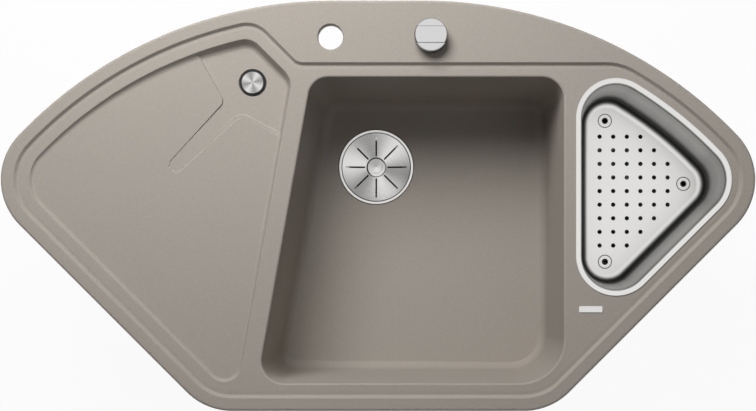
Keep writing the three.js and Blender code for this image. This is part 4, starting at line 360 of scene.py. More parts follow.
def thread(radius, low, high, pitch, depth):
    """Points of a threaded outside, from low to high."""
    points = []
    turns = round((high - low) / pitch)
    for turn in range(turns):
        z = low + (high - low) * turn / turns
        points += [(radius - depth, z + 0.1 * pitch), (radius, z + 0.45 * pitch),
                   (radius, z + 0.65 * pitch)]
    return points + [(radius - depth, high)]


# ---------------------------------------------------------------- places

def at(x, y, z=0):
    """A move to a place, in millimetres."""
    return Matrix.Translation(Vector((x, y, z)) * MM)


def about(axis, degrees):
    return Matrix.Rotation(math.radians(degrees), 4, axis)


def fan(count, centre, first=0):
    """Moves to a centre that are turned evenly round it, the first by a number of degrees."""
    return [at(*centre) @ about("Z", first + 360 * i / count) for i in range(count)]


def route(stops, count):
    """A path that bends gently through stops, in steps of equal length, and its length."""
    stops = [Vector(stop) * MM for stop in stops]
    ends = [2 * stops[0] - stops[1]] + stops + [2 * stops[-1] - stops[-2]]
    steps = 16
    path = []
    for i in range(1, len(ends) - 2):
        a, b, c, d = ends[i - 1:i + 3]
        knots = [0.0]
        for first, second in ((a, b), (b, c), (c, d)):
            knots.append(knots[-1] + (second - first).length ** 0.5)
        start, end = knots[1], knots[2]
        into = ((b - a) / knots[1] - (c - a) / end + (c - b) / (end - start)) * (end - start)
        out = ((c - b) / (end - start) - (d - b) / (knots[3] - start)
               + (d - c) / (knots[3] - end)) * (end - start)
        for t in [step / steps for step in range(steps)]:
            path.append((2 * t ** 3 - 3 * t ** 2 + 1) * b + (t ** 3 - 2 * t ** 2 + t) * into
                        + (3 * t ** 2 - 2 * t ** 3) * c + (t ** 3 - t ** 2) * out)
    path.append(stops[-1])
    lengths = [0.0]
    for first, second in zip(path, path[1:]):
        lengths.append(lengths[-1] + (second - first).length)
    even, here = [], 0
    for step in range(count + 1):
        want = lengths[-1] * step / count
        while here < len(path) - 2 and lengths[here + 1] < want:
            here += 1
        share = (want - lengths[here]) / (lengths[here + 1] - lengths[here])
        even.append(path[here].lerp(path[here + 1], share))
    return even, lengths[-1]


# ---------------------------------------------------------------- making forms

def deselect():
    if bpy.context.mode != "OBJECT":
        bpy.ops.object.mode_set(mode="OBJECT")
    bpy.ops.object.select_all(action="DESELECT")


def only(*pieces):
    """Selects these pieces alone and makes the first one active."""
    deselect()
    for piece in pieces:
        piece.select_set(True)
    bpy.context.view_layer.objects.active = pieces[0]


def edit_all(piece):
    """Opens a piece in edit mode with everything selected."""
    only(piece)
    bpy.ops.object.mode_set(mode="EDIT")
    bpy.ops.mesh.select_all(action="SELECT")


def added(name):
    """The object that an operator has just added, under a name."""
    piece = bpy.context.object
    piece.name = piece.data.name = name
    return piece


def place_ring(piece, points):
    """Moves the selected corners to the points, each corner to the point of its number."""
    mesh = bmesh.from_edit_mesh(piece.data)
    order = mesh.verts.layers.int["order"]
    for vert in mesh.verts:
        if vert.select:
            vert.co = points[vert[order]]
    bmesh.update_edit_mesh(piece.data)


def begin(name, points, filled=True):
    """Adds a circle with a corner for each point, and moves its corners there."""
    deselect()
    bpy.ops.mesh.primitive_circle_add(vertices=len(points), radius=MM, enter_editmode=True,
                                      fill_type="NGON" if filled else "NOTHING")
    piece = added(name)
    mesh = bmesh.from_edit_mesh(piece.data)
    order = mesh.verts.layers.int.new("order")
    for number, vert in enumerate(mesh.verts):
        vert[order] = number
    place_ring(piece, points)
    return piece


def close_up(piece, near=1e-6):
    """Merges doubles, turns the faces outwards and leaves edit mode."""
    bpy.ops.mesh.select_all(action="SELECT")
    bpy.ops.mesh.remove_doubles(threshold=near)
    bpy.ops.mesh.dissolve_degenerate(threshold=near)
    bpy.ops.mesh.select_all(action="SELECT")
    bpy.ops.mesh.normals_make_consistent(inside=False)
    mesh = bmesh.from_edit_mesh(piece.data)
    order = mesh.verts.layers.int.get("order")
    if order:
        mesh.verts.layers.int.remove(order)
    bpy.ops.object.mode_set(mode="OBJECT")
    return piece


def loft(name, rings, filled=True):
    """Extrudes a ring of points from each place to the next. Unfilled, the last ring closes
    on the first."""
    piece = begin(name, rings[0], filled)
    for ring in rings[1:] if filled else rings[1:] + rings[:1]:
        bpy.ops.mesh.extrude_region_move()
        place_ring(piece, ring)
    return close_up(piece)


def moulded(name, marks, profile, filled=True):
    """A form whose outline is drawn in by each distance at each height."""
    return loft(name, [drawn_in(marks, distance, height) for distance, height in profile],
                filled)


def turned(name, profile, centre=(0, 0), steps=96, along="Z"):
    """Spins a profile round an axis. One that starts on the axis ends on it, and any other
    closes on itself."""
    closed = profile[0][0] > 0
    points = [Vector((radius, 0, height)) * MM for radius, height in filleted(profile, closed)]
    piece = begin(name, points, filled=False)
    if not closed:
        mesh = bmesh.from_edit_mesh(piece.data)
        mesh.verts.ensure_lookup_table()
        edge = mesh.edges.get((mesh.verts[0], mesh.verts[-1]))
        bmesh.ops.delete(mesh, geom=[edge], context="EDGES")
        bmesh.update_edit_mesh(piece.data)
    bpy.ops.mesh.select_all(action="SELECT")
    bpy.ops.mesh.spin(steps=steps, angle=2 * math.pi, center=(0, 0, 0), axis=(0, 0, 1))
    close_up(piece)
    turn = {"Z": Matrix(), "X": about("Y", 90), "Y": about("X", -90)}[along]
    piece.data.transform(at(*centre) @ turn)
    return piece


def drill(radius, low, high, centre=(0, 0), steps=32, along="Z"):
    """A plain round tool along an axis."""
    return turned("drill", [(0, low), (radius, low), (radius, high), (0, high)], centre, steps,
                  along)


def tube(name, path, outer, inner, sides, skip=1):
    """A hollow pipe along a path, with an outer radius for each point. The bore may skip."""
    tangents = [(path[min(i + 1, len(path) - 1)] - path[max(i - 1, 0)]).normalized()
                for i in range(len(path))]
    across = tangents[0].orthogonal().normalized()
    frames = []
    for tangent in tangents:
        across = (across - tangent * across.dot(tangent)).normalized()
        frames.append((across, tangent.cross(across)))
    angles = [2 * math.pi * i / sides for i in range(sides)]
    bore = [(i, inner) for i in range(len(path) - 1, -1, -skip)]
    rings = [[path[i] + (frames[i][0] * math.cos(a) + frames[i][1] * math.sin(a)) * r * MM
              for a in angles] for i, r in [*enumerate(outer), *bore]]
    return loft(name, rings, filled=False)


def block(name, low, high, rounding=0.0, steps=2):
    """A box between two corners, its edges rounded."""
    deselect()
    bpy.ops.mesh.primitive_cube_add(size=1, enter_editmode=True)
    piece = added(name)
    bpy.ops.transform.resize(value=[(b - a) * MM for a, b in zip(low, high)])
    bpy.ops.transform.translate(value=[(a + b) / 2 * MM for a, b in zip(low, high)])
    if rounding:
        bpy.ops.mesh.bevel(offset=rounding * MM, segments=steps, affect="EDGES",
                           clamp_overlap=True)
    return close_up(piece)


def apply(piece, kind, **settings):
    """Adds a modifier and applies it."""
    only(piece)
    bpy.ops.object.modifier_add(type=kind)
    modifier = piece.modifiers[-1]
    for name, value in settings.items():
        setattr(modifier, name, value)
    bpy.ops.object.modifier_apply(modifier=modifier.name)


def rounded_edges(piece, width, angle):
    """Bevels the edges that are sharper than an angle."""
    apply(piece, "BEVEL", width=width * MM, segments=2, limit_method="ANGLE",
          angle_limit=math.radians(angle), use_clamp_overlap=True)


def combine(operation, piece, tools, **settings):
    """Adds tools to a piece, cuts them out or keeps what they share. They are used up."""
    for tool in tools:
        apply(piece, "BOOLEAN", operation=operation, object=tool,
              **{"solver": "MANIFOLD", **settings})
        bpy.data.objects.remove(tool)
    return piece


def add(piece, *tools):
    return combine("UNION", piece, tools)


def cut(piece, *tools):
    return combine("DIFFERENCE", piece, tools)


def keep(piece, tool):
    return combine("INTERSECT", piece, [tool])


def joined(pieces):
    """Makes one object of several."""
    only(*pieces)
    bpy.ops.object.join()
    return pieces[0]


def copied(piece, name, matrix):
    """A copy with its own mesh, moved by a matrix."""
    only(piece)
    bpy.ops.object.duplicate(linked=False)
    copy = added(name)
    copy.data.transform(matrix)
    return copy


def copies(piece, places):
    """One object of a copy at each place. The piece itself is used up."""
    made = [copied(piece, piece.name, place) for place in places]
    bpy.data.objects.remove(piece)
    return joined(made)


def ridged(piece, centre, radius, height, count, groove):
    """Cuts round grooves down the outside of a nut, for the fingers."""
    return cut(piece, copies(drill(groove, -height, height, (radius, 0), 20),
                             fan(count, centre)))


def six_sided(piece, centre, flat, bottom, top):
    """Cuts a turned nut to six sides."""
    reach = flat / math.cos(math.pi / 6)
    corners = [(centre[0] + reach * math.cos(math.pi / 3 * i),
                centre[1] + reach * math.sin(math.pi / 3 * i), 1) for i in range(6)]
    return keep(piece, moulded("six_sides", polygon(*corners),
                               [(0, bottom - 1), (0, top + 1)]))


def settled(piece, finish, node, body="sink", angle=34, edges=0.0):
    """Finishes a piece: rounded edges, smooth shading, material, body and node."""
    slot, material = material_of(finish)
    edit_all(piece)
    bpy.ops.mesh.dissolve_limited(angle_limit=0.0015, delimit=set())
    bpy.ops.object.mode_set(mode="OBJECT")
    if edges:
        rounded_edges(piece, edges, 38)
        only(piece)
    bpy.ops.object.shade_smooth_by_angle(angle=math.radians(angle))
    apply(piece, "WEIGHTED_NORMAL", keep_sharp=True)
    piece.data.materials.clear()
    piece.data.materials.append(material)
    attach(piece, body)
    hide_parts(node)
    return piece


# ---------------------------------------------------------------- finishes

def as_operator(operation, reflected=False):
    """An operator of Level that adds a Math node."""
    def result(level, other=0.0):
        return level.nodes.maths(operation, *((other, level) if reflected else (level, other)))
    return result


class Level:
    """A number or a colour from a node, worked with like a number."""

    def __init__(self, nodes, socket):
        self.nodes = nodes
        self.socket = socket

    def beside(self, name):
        """Another output of the same node."""
        return Level(self.nodes, self.socket.node.outputs[name])

    __add__, __radd__ = as_operator("ADD"), as_operator("ADD", True)
    __sub__, __rsub__ = as_operator("SUBTRACT"), as_operator("SUBTRACT", True)
    __mul__, __rmul__ = as_operator("MULTIPLY"), as_operator("MULTIPLY", True)
    __truediv__ = as_operator("DIVIDE")
    __pow__ = as_operator("POWER")
    sine = as_operator("SINE")
    root = as_operator("SQRT")


class Nodes:
    """A node tree that is written as Python expressions."""

    def __init__(self, tree):
        self.tree = tree

    def node(self, kind, settings=None, inputs=None, out=0):
        """Adds a node, makes its settings, then feeds its sockets with values or links."""
        node = self.tree.nodes.new(kind)
        for name, value in (settings or {}).items():
            if name == "stops":
                while len(node.color_ramp.elements) < len(value):
                    node.color_ramp.elements.new(0.5)
                for element, (position, shade) in zip(node.color_ramp.elements, value):
                    element.position = position
                    element.color = (shade, shade, shade, 1)
            else:
                setattr(node, name, value)
        for name, value in (inputs or {}).items():
            self.feed(node.inputs[name], value)
        return Level(self, node.outputs[out])

    def feed(self, socket, value):
        if isinstance(value, Level):
            self.tree.links.new(value.socket, socket)
        else:
            socket.default_value = value

    def maths(self, operation, first, second=0.0):
        return self.node("ShaderNodeMath", {"operation": operation}, {0: first, 1: second})

    def ramp(self, value, *stops):
        return self.node("ShaderNodeValToRGB", {"stops": stops}, {0: value})

    def mix(self, share, first, second):
        """A number between two, by a share."""
        return self.node("ShaderNodeMix", {}, {0: share, 2: first, 3: second})


class Finish(Nodes):
    """A material whose patterns are worked out from the place on the piece."""

    def __init__(self, name, **sockets):
        self.material = bpy.data.materials.new(name)
        self.material.use_nodes = True
        super().__init__(self.material.node_tree)
        self.tree.nodes.clear()
        self.shader = self.tree.nodes.new("ShaderNodeBsdfPrincipled")
        self.output = self.tree.nodes.new("ShaderNodeOutputMaterial")
        self.surface = Level(self, self.shader.outputs["BSDF"])
        self.feed(self.output.inputs["Surface"], self.surface)
        self.place = self.node("ShaderNodeTexCoord", out="Object")
        for name, value in sockets.items():
            self.set(name.replace("_", " "), value)

    def set(self, socket, value):
        self.feed(self.shader.inputs[socket], value)

    def round(self, centre):
        """Distance from an upright axis and the angle round it."""
        away = self.node("ShaderNodeVectorMath", {"operation": "SUBTRACT"},
                         {0: self.place, 1: (centre[0] * MM, centre[1] * MM, 0)})
        x = self.node("ShaderNodeSeparateXYZ", {}, {0: away})
        y = x.beside("Y")
        return (x * x + y * y).root(), self.maths("ARCTAN2", y, x)

    def noise(self, scale, detail=2.0, place=None, rough=0.5):
        return self.node("ShaderNodeTexNoise", {}, {
            "Vector": place or self.place, "Scale": scale, "Detail": detail, "Roughness": rough})

    def brushed(self, scale):
        """Grain that runs one way, by the scale along each axis."""
        return self.noise(1.0, 3.0, self.node("ShaderNodeMapping", {}, {
            "Vector": self.place, "Scale": scale}), 0.6)

    def colours(self, share, first, second):
        """The base colour, between two that are written as the eye sees them, 0 to 255."""
        linear = [(*[((part / 255 + 0.055) / 1.055) ** 2.4 if part > 10 else part / 3294
                     for part in shade], 1) for shade in (first, second)]
        self.set("Base Color", self.node("ShaderNodeMix", {"data_type": "RGBA"}, {
            0: share, 6: linear[0], 7: linear[1]}, out=2))

    def bumped(self, height, strength, distance):
        """Adds a bump and gives the finished material."""
        self.set("Normal", self.node("ShaderNodeBump", {}, {
            "Height": height, "Strength": strength, "Distance": distance}))
        return self.material


def shaded(tint, share):
    """A tint made darker or lighter by a share, up to white."""
    return [min(255, part * share) for part in tint]


def composite_finish(name, tint):
    """Matt granite composite: fine mineral grain in resin, slightly rough to the touch."""
    finish = Finish(name, IOR=1.46, Specular_IOR_Level=0.2)
    grains = finish.node("ShaderNodeTexVoronoi", {"feature": "F1"},
                         {"Vector": finish.place, "Scale": 1150.0}, out="Color")
    fleck = finish.node("ShaderNodeRGBToBW", {}, {0: grains})
    fine = finish.noise(2600.0, 3.0)
    broad = finish.noise(9.0, 3.0)
    finish.colours(fleck * 0.5 + fine * 0.5 + broad * 0.12 - 0.06,
                   shaded(tint, 0.93), shaded(tint, 1.07))
    finish.set("Roughness", 0.5 + fine * 0.12 - fleck * 0.08)
    return finish.bumped(fine * 0.5 + fleck * 0.5, 0.16, 0.00018)


def brushed_finish(name, tint, scale, rough):
    """Sheet steel brushed one way."""
    finish = Finish(name, Metallic=1.0)
    lines = finish.brushed(scale)
    cloud = finish.noise(14.0, 2.0)
    finish.colours(lines * 0.55 + cloud * 0.25 + 0.08, shaded(tint, 0.9), tint)
    finish.set("Roughness", rough + lines * 0.14 - 0.05)
    return finish.bumped(lines, 0.12, 0.00008)


def spun_finish(name, tint, centre, rough, strength=0.35, fan=(0, 0, 0), edge=1000):
    """Steel turned on a lathe: fine rings round the axis as a bump, and a painted fan of
    highlights and shade in the base colour for their reflections. The fan is its number of
    blades, its turn and its depth. Past the edge, which is a radius, painted shade darkens the
    metal."""
    finish = Finish(name, Metallic=1.0)
    distance, angle = finish.round(centre)
    rings = (distance * (2 * math.pi / (0.5 * MM))).sine()
    wave = finish.node("ShaderNodeCombineXYZ", {}, {0: distance * 2600.0, 1: angle * 0.9})
    scratch = finish.noise(1.0, 3.0, wave, 0.65)
    blades, turn, depth = fan
    ragged = finish.noise(14.0, 2.0) * 1.6 + scratch * 0.5
    # painted highlights and shade: a fan of light and dark blades round the axis, in the base
    # colour
    painted_fan = ((angle - turn) * blades + math.pi / 2 + ragged - 1.0).sine() * 0.5 + 0.5
    # painted shade past the edge radius, for the dark reflection on the rounded rim
    rim = finish.ramp(distance / (edge * MM) - 0.5, (0.495, 0.0), (0.51, 0.5))
    finish.colours(scratch * 0.25 + 0.75 - painted_fan * depth - rim, shaded(tint, 0.3), tint)
    finish.set("Roughness", rough + scratch * 0.12 - 0.04)
    return finish.bumped(rings * 0.25 + scratch, strength, 0.00006)


def basket_finish(name, tint):
    """Brushed steel with painted shade by height: dark near the floor and under the rim, a
    painted highlight line low on the wall, a little rougher where darker, and painted shade in
    the groove round each foot."""
    finish = Finish(name, Metallic=1.0)
    lines = finish.brushed((700.0, 700.0, 60.0))
    height = finish.node("ShaderNodeSeparateXYZ", {}, {0: finish.place}, out="Z")
    share = (height / MM - BASKET_FLOOR) / (BASKET_TOP - BASKET_FLOOR)
    # painted shade and highlight by height: bright floor and rim top, dark bands near the floor
    # and under the rim, a thin light line low on the wall
    wall = finish.ramp(
        share, (0.008, 1.0), (0.035, 0.25), (0.06, 0.05), (0.11, 0.05), (0.125, 0.3),
        (0.14, 0.05), (0.23, 0.12), (0.38, 0.55), (0.7, 0.7), (0.93, 0.6), (0.955, 0.12),
        (0.97, 0.12), (0.98, 1.0))
    # painted shade in the groove of each foot's dimple
    for place in foot_places():
        distance, angle = finish.round(place)
        ring = finish.ramp((distance / MM - 9.7) ** 2, (0.1, 1.0), (0.55, 0.0))
        wall = wall - wall * ring * 0.8
    finish.colours(wall * (lines * 0.12 + 0.9), shaded(tint, 0.12), tint)
    finish.set("Roughness", 0.36 + lines * 0.14 - wall * 0.06)
    return finish.bumped(lines, 0.15, 0.00008)


def plain_metal_finish(name, tint, rough):
    """Cast or pressed metal with a faint grain and broad patches that vary in tone and dullness.
    """
    finish = Finish(name, Metallic=1.0)
    fine = finish.noise(900.0, 3.0)
    broad = finish.noise(60.0, 3.0)
    finish.colours(fine * 0.5 + broad * 0.5, shaded(tint, 0.82), tint)
    finish.set("Roughness", rough + broad * 0.16 - 0.06)
    return finish.bumped(fine, 0.15, 0.0001)


def plastic_finish(name, tint, rough, grain=1400.0):
    """Moulded plastic with a fine grain."""
    finish = Finish(name, IOR=1.49)
    fine = finish.noise(grain, 2.0)
    broad = finish.noise(25.0, 2.0)
    finish.colours(fine * 0.4 + broad * 0.6, shaded(tint, 0.92), shaded(tint, 1.05))
    finish.set("Roughness", rough + fine * 0.1 - 0.05)
    return finish.bumped(fine, 0.12, 0.00012)


def rubber_finish(name, tint):
    """Dull black rubber with talc in its pores."""
    finish = Finish(name, IOR=1.5, Specular_IOR_Level=0.3)
    fine = finish.noise(1100.0, 4.0)
    dust = finish.ramp(finish.noise(180.0, 4.0), (0.52, 0.0), (0.75, 1.0))
    finish.colours(dust * 0.5, tint, (72, 71, 70))
    finish.set("Roughness", 0.72 + fine * 0.2)
    return finish.bumped(fine, 0.3, 0.0002)


# Each finish: the record's slot, the material, its maker, its tint and its settings.
FINISHES = {
    "composite": ("composite", "grained_composite", composite_finish, "composite", {}),
    "badge": ("steel", "badge_steel", brushed_finish, "steel",
              {"scale": (60.0, 5200.0, 60.0), "rough": 0.34}),
    # In the spun finishes, fan paints a fan of highlights and shade into the colour, and edge
    # paints shade past a radius.
    "knob": ("polished_steel", "knob_steel", spun_finish, "knob",
             {"centre": KNOB, "rough": 0.3, "strength": 0.2, "edge": 21.8}),
    "bright": ("polished_steel", "bright_steel", plain_metal_finish, "steel", {"rough": 0.2}),
    "flange": ("steel", "flange_steel", spun_finish, "steel", {"centre": WASTE, "rough": 0.28}),
    "dish": ("steel", "dish_steel", spun_finish, "steel",
             {"centre": WASTE, "rough": 0.24, "strength": 0.5,
              "fan": (3, math.radians(110), 0.55)}),
    "button": ("polished_steel", "button_steel", spun_finish, "steel",
               {"centre": WASTE, "rough": 0.2, "strength": 0.3, "fan": (1, 2.0, 0.45),
                "edge": 14.3}),
    "cap": ("steel", "cap_steel", spun_finish, "steel",
            {"centre": OVERFLOW, "rough": 0.26, "strength": 0.5,
             "fan": (4, math.radians(15), 0.5), "edge": 15.2}),
    "small_steel": ("steel", "small_waste_steel", spun_finish, "steel",
                    {"centre": SMALL_WASTE, "rough": 0.28}),
    "basket": ("steel", "basket_steel", basket_finish, "steel", {}),
    "zinc": ("zinc", "zinc_plating", plain_metal_finish, "zinc", {"rough": 0.42}),
    "brass": ("brass", "turned_brass", plain_metal_finish, "brass", {"rough": 0.34}),
    "black": ("black_plastic", "black_moulding", plastic_finish, "black", {"rough": 0.45}),
    "cable": ("black_plastic", "cable_plastic", plastic_finish, "black",
              {"rough": 0.5, "grain": 700.0}),
    "white": ("white_plastic", "white_moulding", plastic_finish, "white", {"rough": 0.42}),
    "grey": ("grey_plastic", "grey_moulding", plastic_finish, "grey", {"rough": 0.5}),
    "hose": ("grey_plastic", "hose_plastic", plastic_finish, "hose",
             {"rough": 0.45, "grain": 600.0}),
    "rubber": ("rubber", "black_rubber", rubber_finish, "rubber", {}),
}


def material_of(finish):
    """A finish's slot and its material, which is made when it is first asked for."""
    slot, name, maker, tint, settings = FINISHES[finish]
    shade = [part * 255 for part in getattr(bpy.context.scene.corner_sink_colours, tint)]
    return slot, bpy.data.materials.get(name) or maker(name, shade, **settings)


# ---------------------------------------------------------------- the sink's moulding

def drainer_plane(x, y):
    """Height of the drainer's sloping floor."""
    tip_x, tip_y, tip_r = rim_circle("tip_left", DRAINER_INSET)
    across = ((x - tip_x) + (y - tip_y)) * DIAGONAL + tip_r
    return PLATEAU - DRAINER_DROP - across * DRAINER_SLOPE


def drainer_underside(x, y):
    return drainer_plane(x, y) - FLOOR_WALL


def ledge_plane(x, y):
    return drainer_plane(x, y) - LEDGE_DROP


def pit_plane(x, y):
    """Height of the overflow pit's floor, which falls to the overflow."""
    end = drainer_plane(OVERFLOW[0] - PIT_REACH[0], OVERFLOW[1] - PIT_REACH[1])
    rise = (end - PIT_FLOOR) / (sum(PIT_REACH) * DIAGONAL)
    return PIT_FLOOR + rise * ((OVERFLOW[0] - x) + (OVERFLOW[1] - y)) * DIAGONAL


def draped(name, marks, plane, grow=0.0):
    """A cutter from above down to a plane: a rounded lip, a steep wall and a wide round foot.
    The wall on the bowl's side is steeper, with a smaller foot. It may be a little larger than
    the outline, so that no two cutters share a wall."""
    lip = DRAINER_LIP
    marks = [(x, y, r + grow, h) for x, y, r, h in marks]
    deep = [max(PLATEAU - z, 2) for z in heights_along(marks, 6, plane)]
    plump = [1 - BOWL_SIDE_STEEPER * max(0, math.sin(h)) ** 4 for x, y, r, h in marks]
    feet = [min(FOOT_RADIUS * p, 0.62 * d) for d, p in zip(deep, plump)]
    runs = [WALL_RUN * p for p in plump]
    rings = [drawn_in(marks, -lip - 1, CLEAR), drawn_in(marks, -lip - 1, PLATEAU + 0.35)]
    for t in [step / 5 for step in range(6)]:
        distance = [-lip * (1 - t) ** 2 + run * lip * 0.6 * t * t for run in runs]
        rings.append(drawn_in(marks, distance, PLATEAU - lip * 0.6 * t * t))
    for t in [step / 9 for step in range(10)]:
        fall = [d - foot * (1 - t) ** 2 for d, foot in zip(deep, feet)]
        out = [run * f + 1.25 * foot * t * t for f, foot, run in zip(fall, feet, runs)]
        rings.append(drawn_in(marks, out, [PLATEAU - f for f in fall]))
    laid(rings[-1], plane)
    return loft(name, rings)


def drainer_cutters():
    """What is cut for the drainer: its floor, the ledge round the overflow pit and the pit."""
    marks = drainer_outline()
    pit_marks = polygon(*[(OVERFLOW[0] + x, OVERFLOW[1] + y, r) for x, y, r in PIT_CORNERS])
    front = [min(1, max(0, math.cos(h) - 0.5) / 0.2) for x, y, r, h in pit_marks]
    section = [(-1.6, 20), (-1.6, 1.2), (-1.1, 0.2), (0, -2.2), (1.1, -4.2), (2, -6.4),
               (2.4, -14)]

    def area(name, shift, front_shift):
        """The pit's upright form. Its front edge slopes more, and is shifted on its own."""
        return loft(name, [
            drawn_in(pit_marks, [d * (1 + 2.2 * f) + shift + front_shift * f for f in front], z)
            for d, z in section])

    pit = keep(draped("pit_walls", marks, pit_plane, WALLS_APART), area("pit", 0, 0.8))
    ledge = keep(draped("ledge_walls", marks, ledge_plane, -WALLS_APART),
                 area("ledge", 0.3, -2.6))
    return [draped("drainer_cutter", marks, drainer_plane), ledge, pit]


def cavity(name, marks, shape, lip, fillet, fillet_height):
    """A bowl's inside, to be cut out: rounded mouth, drafted wall, rounded floor edge."""
    floor, draft = shape
    fillet_top = floor + fillet_height
    slope = draft / (PLATEAU - fillet_top)
    profile = [(-lip - 1.6, CLEAR), (-lip - 1.6, PLATEAU + 0.5)]
    profile += [(-lip * (1 - rise) + slope * lip * run, PLATEAU - lip * run)
                for run, rise in quarter(6, 0.6)]
    profile.append((draft * 0.5, PLATEAU + (fillet_top - PLATEAU) * 0.5))
    profile += [(draft + fillet * run, fillet_top - fillet_height * rise)
                for run, rise in quarter(10)]
    return moulded(name, marks, profile)


def shell(name, marks, shape, fillet, fillet_height):
    """The outside of a bowl, hung from the deck plate with a rounded root."""
    floor, draft = shape
    root = 5
    fillet_top = floor + fillet_height
    slope = draft / (PLATEAU - fillet_top)
    profile = [(-WALL - root, PLATE_BOTTOM + 1), (-WALL - root, PLATE_BOTTOM - 0.2)]
    profile += [(-WALL - root * (1 - rise) + slope * (PLATEAU - PLATE_BOTTOM + root * run),
                 PLATE_BOTTOM - root * run) for run, rise in quarter(5, 0.5)]
    profile += [(draft - WALL + (fillet + 2) * run, fillet_top - (fillet_height + WALL) * rise)
                for run, rise in quarter(8)]
    return moulded(name, marks, profile)


def tray():
    """The drainer's underside."""
    marks = drainer_outline()
    low = heights_along(marks, -WALL, drainer_underside)
    rings = [drawn_in(marks, -WALL - out, z)
             for out, z in ((3, PLATE_BOTTOM + 1), (3, -3.2), (1, -3.9), (0, -5.2))]
    rings += [drawn_in(marks, -WALL + 3 * run, [z + 3 - 3 * rise for z in low])
              for run, rise in quarter(4)]
    laid(rings[-1], drainer_underside)
    return loft("tray", rings)


def sloped(piece):
    """Cuts the main bowl's inside along a floor that falls towards the waste."""
    heading = math.atan2(BOWL_FRONT - WASTE[1], BOWL_RIGHT - WASTE[0])
    x, y = math.cos(heading), math.sin(heading)
    edit_all(piece)
    start = Vector((WASTE[0] + WASTE_FLAT * x, WASTE[1] + WASTE_FLAT * y, BOWL_FLOOR)) * MM
    bpy.ops.mesh.bisect(plane_co=start, plane_no=(-BOWL_FALL * x, -BOWL_FALL * y, 1),
                        use_fill=True, clear_inner=True)
    return close_up(piece)


def sink_piece(sizes):
    """The moulding: rim, skirt, deck plate, two bowls and the drainer."""
    body = moulded("composite_sink", outline(list(RIM.values())), [
        (30, -3), (27.2, -3.2), (26.3, -3.7), (26, -4.6), (26, -11.4), (25.6, -11.9), (25, -12),
        (19, -12), (18.3, -11.8), (18, -11.2), (18, 0.8), (17.6, 1.35), (17, 1.5), (2, 1.5),
        (0.9, 1.8), (0.25, 2.4), (0, 3.3), (0, 5.4), (0.35, 6.8), (1.2, 7.95), (2.5, 8.7),
        (4.6, RIM_TOP)])
    bowl = bowl_outline()
    small = outline([(x, y, r - SMALL_BOWL_INSET) for x, y, r in basket_circles()])
    add(body, tray(), shell("bowl", bowl, BOWL_SHAPE, 12, 18),
        shell("small_bowl", small, SMALL_BOWL_SHAPE, 12, 16))
    for centre, radius, bottom, top in (
            (WASTE, 62, -195, -183), (SMALL_WASTE, 40, -131, -123),
            (OVERFLOW, 27, -17, drainer_underside(*OVERFLOW) + 4), (TAP, 24.5, -4, 0),
            (KNOB, 24.5, -4, 0)):
        add(body, turned("pad", [(0, bottom), (radius, bottom, 1), (radius, top), (0, top)],
                         centre, 72))
    for x, y, heading in clip_places():
        add(body, turned("boss", [(0, -20), (7, -20, 1), (7.4, -4, 3), (11, -2.6), (11, 0),
                                  (0, 0)], (x, y), 40))
    cut(body, moulded("step_cutter", step_outline(), [
        (-3.2, CLEAR), (-3.2, 9.4), (-0.7, 9.02), (-0.1, 8.88), (0.35, 8.5), (0.9, 7.9),
        (1.6, 7.1), (2.4, 6.15), (3.1, 5.4), (3.6, 4.95), (4.2, 4.68), (5, 4.6), (6.4, 4.72),
        (8.2, 4.93), (9.6, PLATEAU)]))
    cut(body, *drainer_cutters())
    cut(body, sloped(cavity("bowl_cutter", bowl, BOWL_SHAPE, sizes.bowl_mouth / MM,
                            sizes.bowl_fillet / MM, 26)))
    cut(body, cavity("small_cutter", small, SMALL_BOWL_SHAPE, sizes.small_mouth / MM, 12, 16))
    tap_hole = [(0, -5), (17.5, -5), (17.5, 7.6, 2), (19.2, 9.4), (19.2, 12), (0, 12)]
    for centre, profile in (
            (WASTE, [(0, -196), (45, -196), (45, -190, 1), (55.3, -184, 1), (58.5, -184, 0.5),
                     (58.5, -181.6, 0.5), (59.6, -180.8), (59.6, -178), (0, -178)]),
            (SMALL_WASTE, [(0, -132), (22, -132), (22, -128, 1), (32, -124, 1), (36, -124, 0.5),
                           (36, -121.6, 0.5), (37, -120.8), (37, -118), (0, -118)]),
            (OVERFLOW, [(0, -18), (14, -18), (14, -9, 0.5), (19.2, -9, 0.6), (19.2, -6.8, 0.8),
                        (20.3, -5.7), (20.3, 8), (0, 8)]),
            (TAP, tap_hole), (KNOB, tap_hole)):
        cut(body, turned("hole", profile, centre, 72))
    for x, y, heading in clip_places():
        cut(body, drill(2.8, -21, -4, (x, y), 72))
    for vertex in body.data.vertices:
        vertex.co.x = min(max(vertex.co.x, CAD_BOX[0][0]), CAD_BOX[1][0])
        vertex.co.y = min(max(vertex.co.y, CAD_BOX[0][1]), CAD_BOX[1][1])
    settled(body, "composite", "sink_body", angle=30)


# ---------------------------------------------------------------- pieces

def badge_piece():
    x, y, half_x, half_y = 298, -145, 16.5, 4.5
    corners = [(x + sx * half_x, y + sy * half_y, 1.5)
               for sx, sy in ((-1, -1), (1, -1), (1, 1), (-1, 1))]
    plate = moulded("blank_badge", polygon(*corners), [
        (0.1, 5.3), (0, 5.4), (0, 5.85), (0.1, 6.03), (0.28, 6.1), (0.7, 6.1), (0.8, 6.0),
        (1.0, 6.0), (1.1, 6.1)])
    settled(plate, "badge", "name_plate", angle=50)


def seal_piece():
    section = [(2.3, 0), (2, 0.3), (2, 0.9), (2.3, 1.2), (5.9, 1.2), (6.5, 0.95), (7.1, 1.2),
               (10.7, 1.2), (11, 0.9), (11, 0.3), (10.7, 0)]
    strip = moulded("rim_seal", outline(list(RIM.values())), section, filled=False)
    settled(strip, "rubber", "worktop_seal", angle=40)


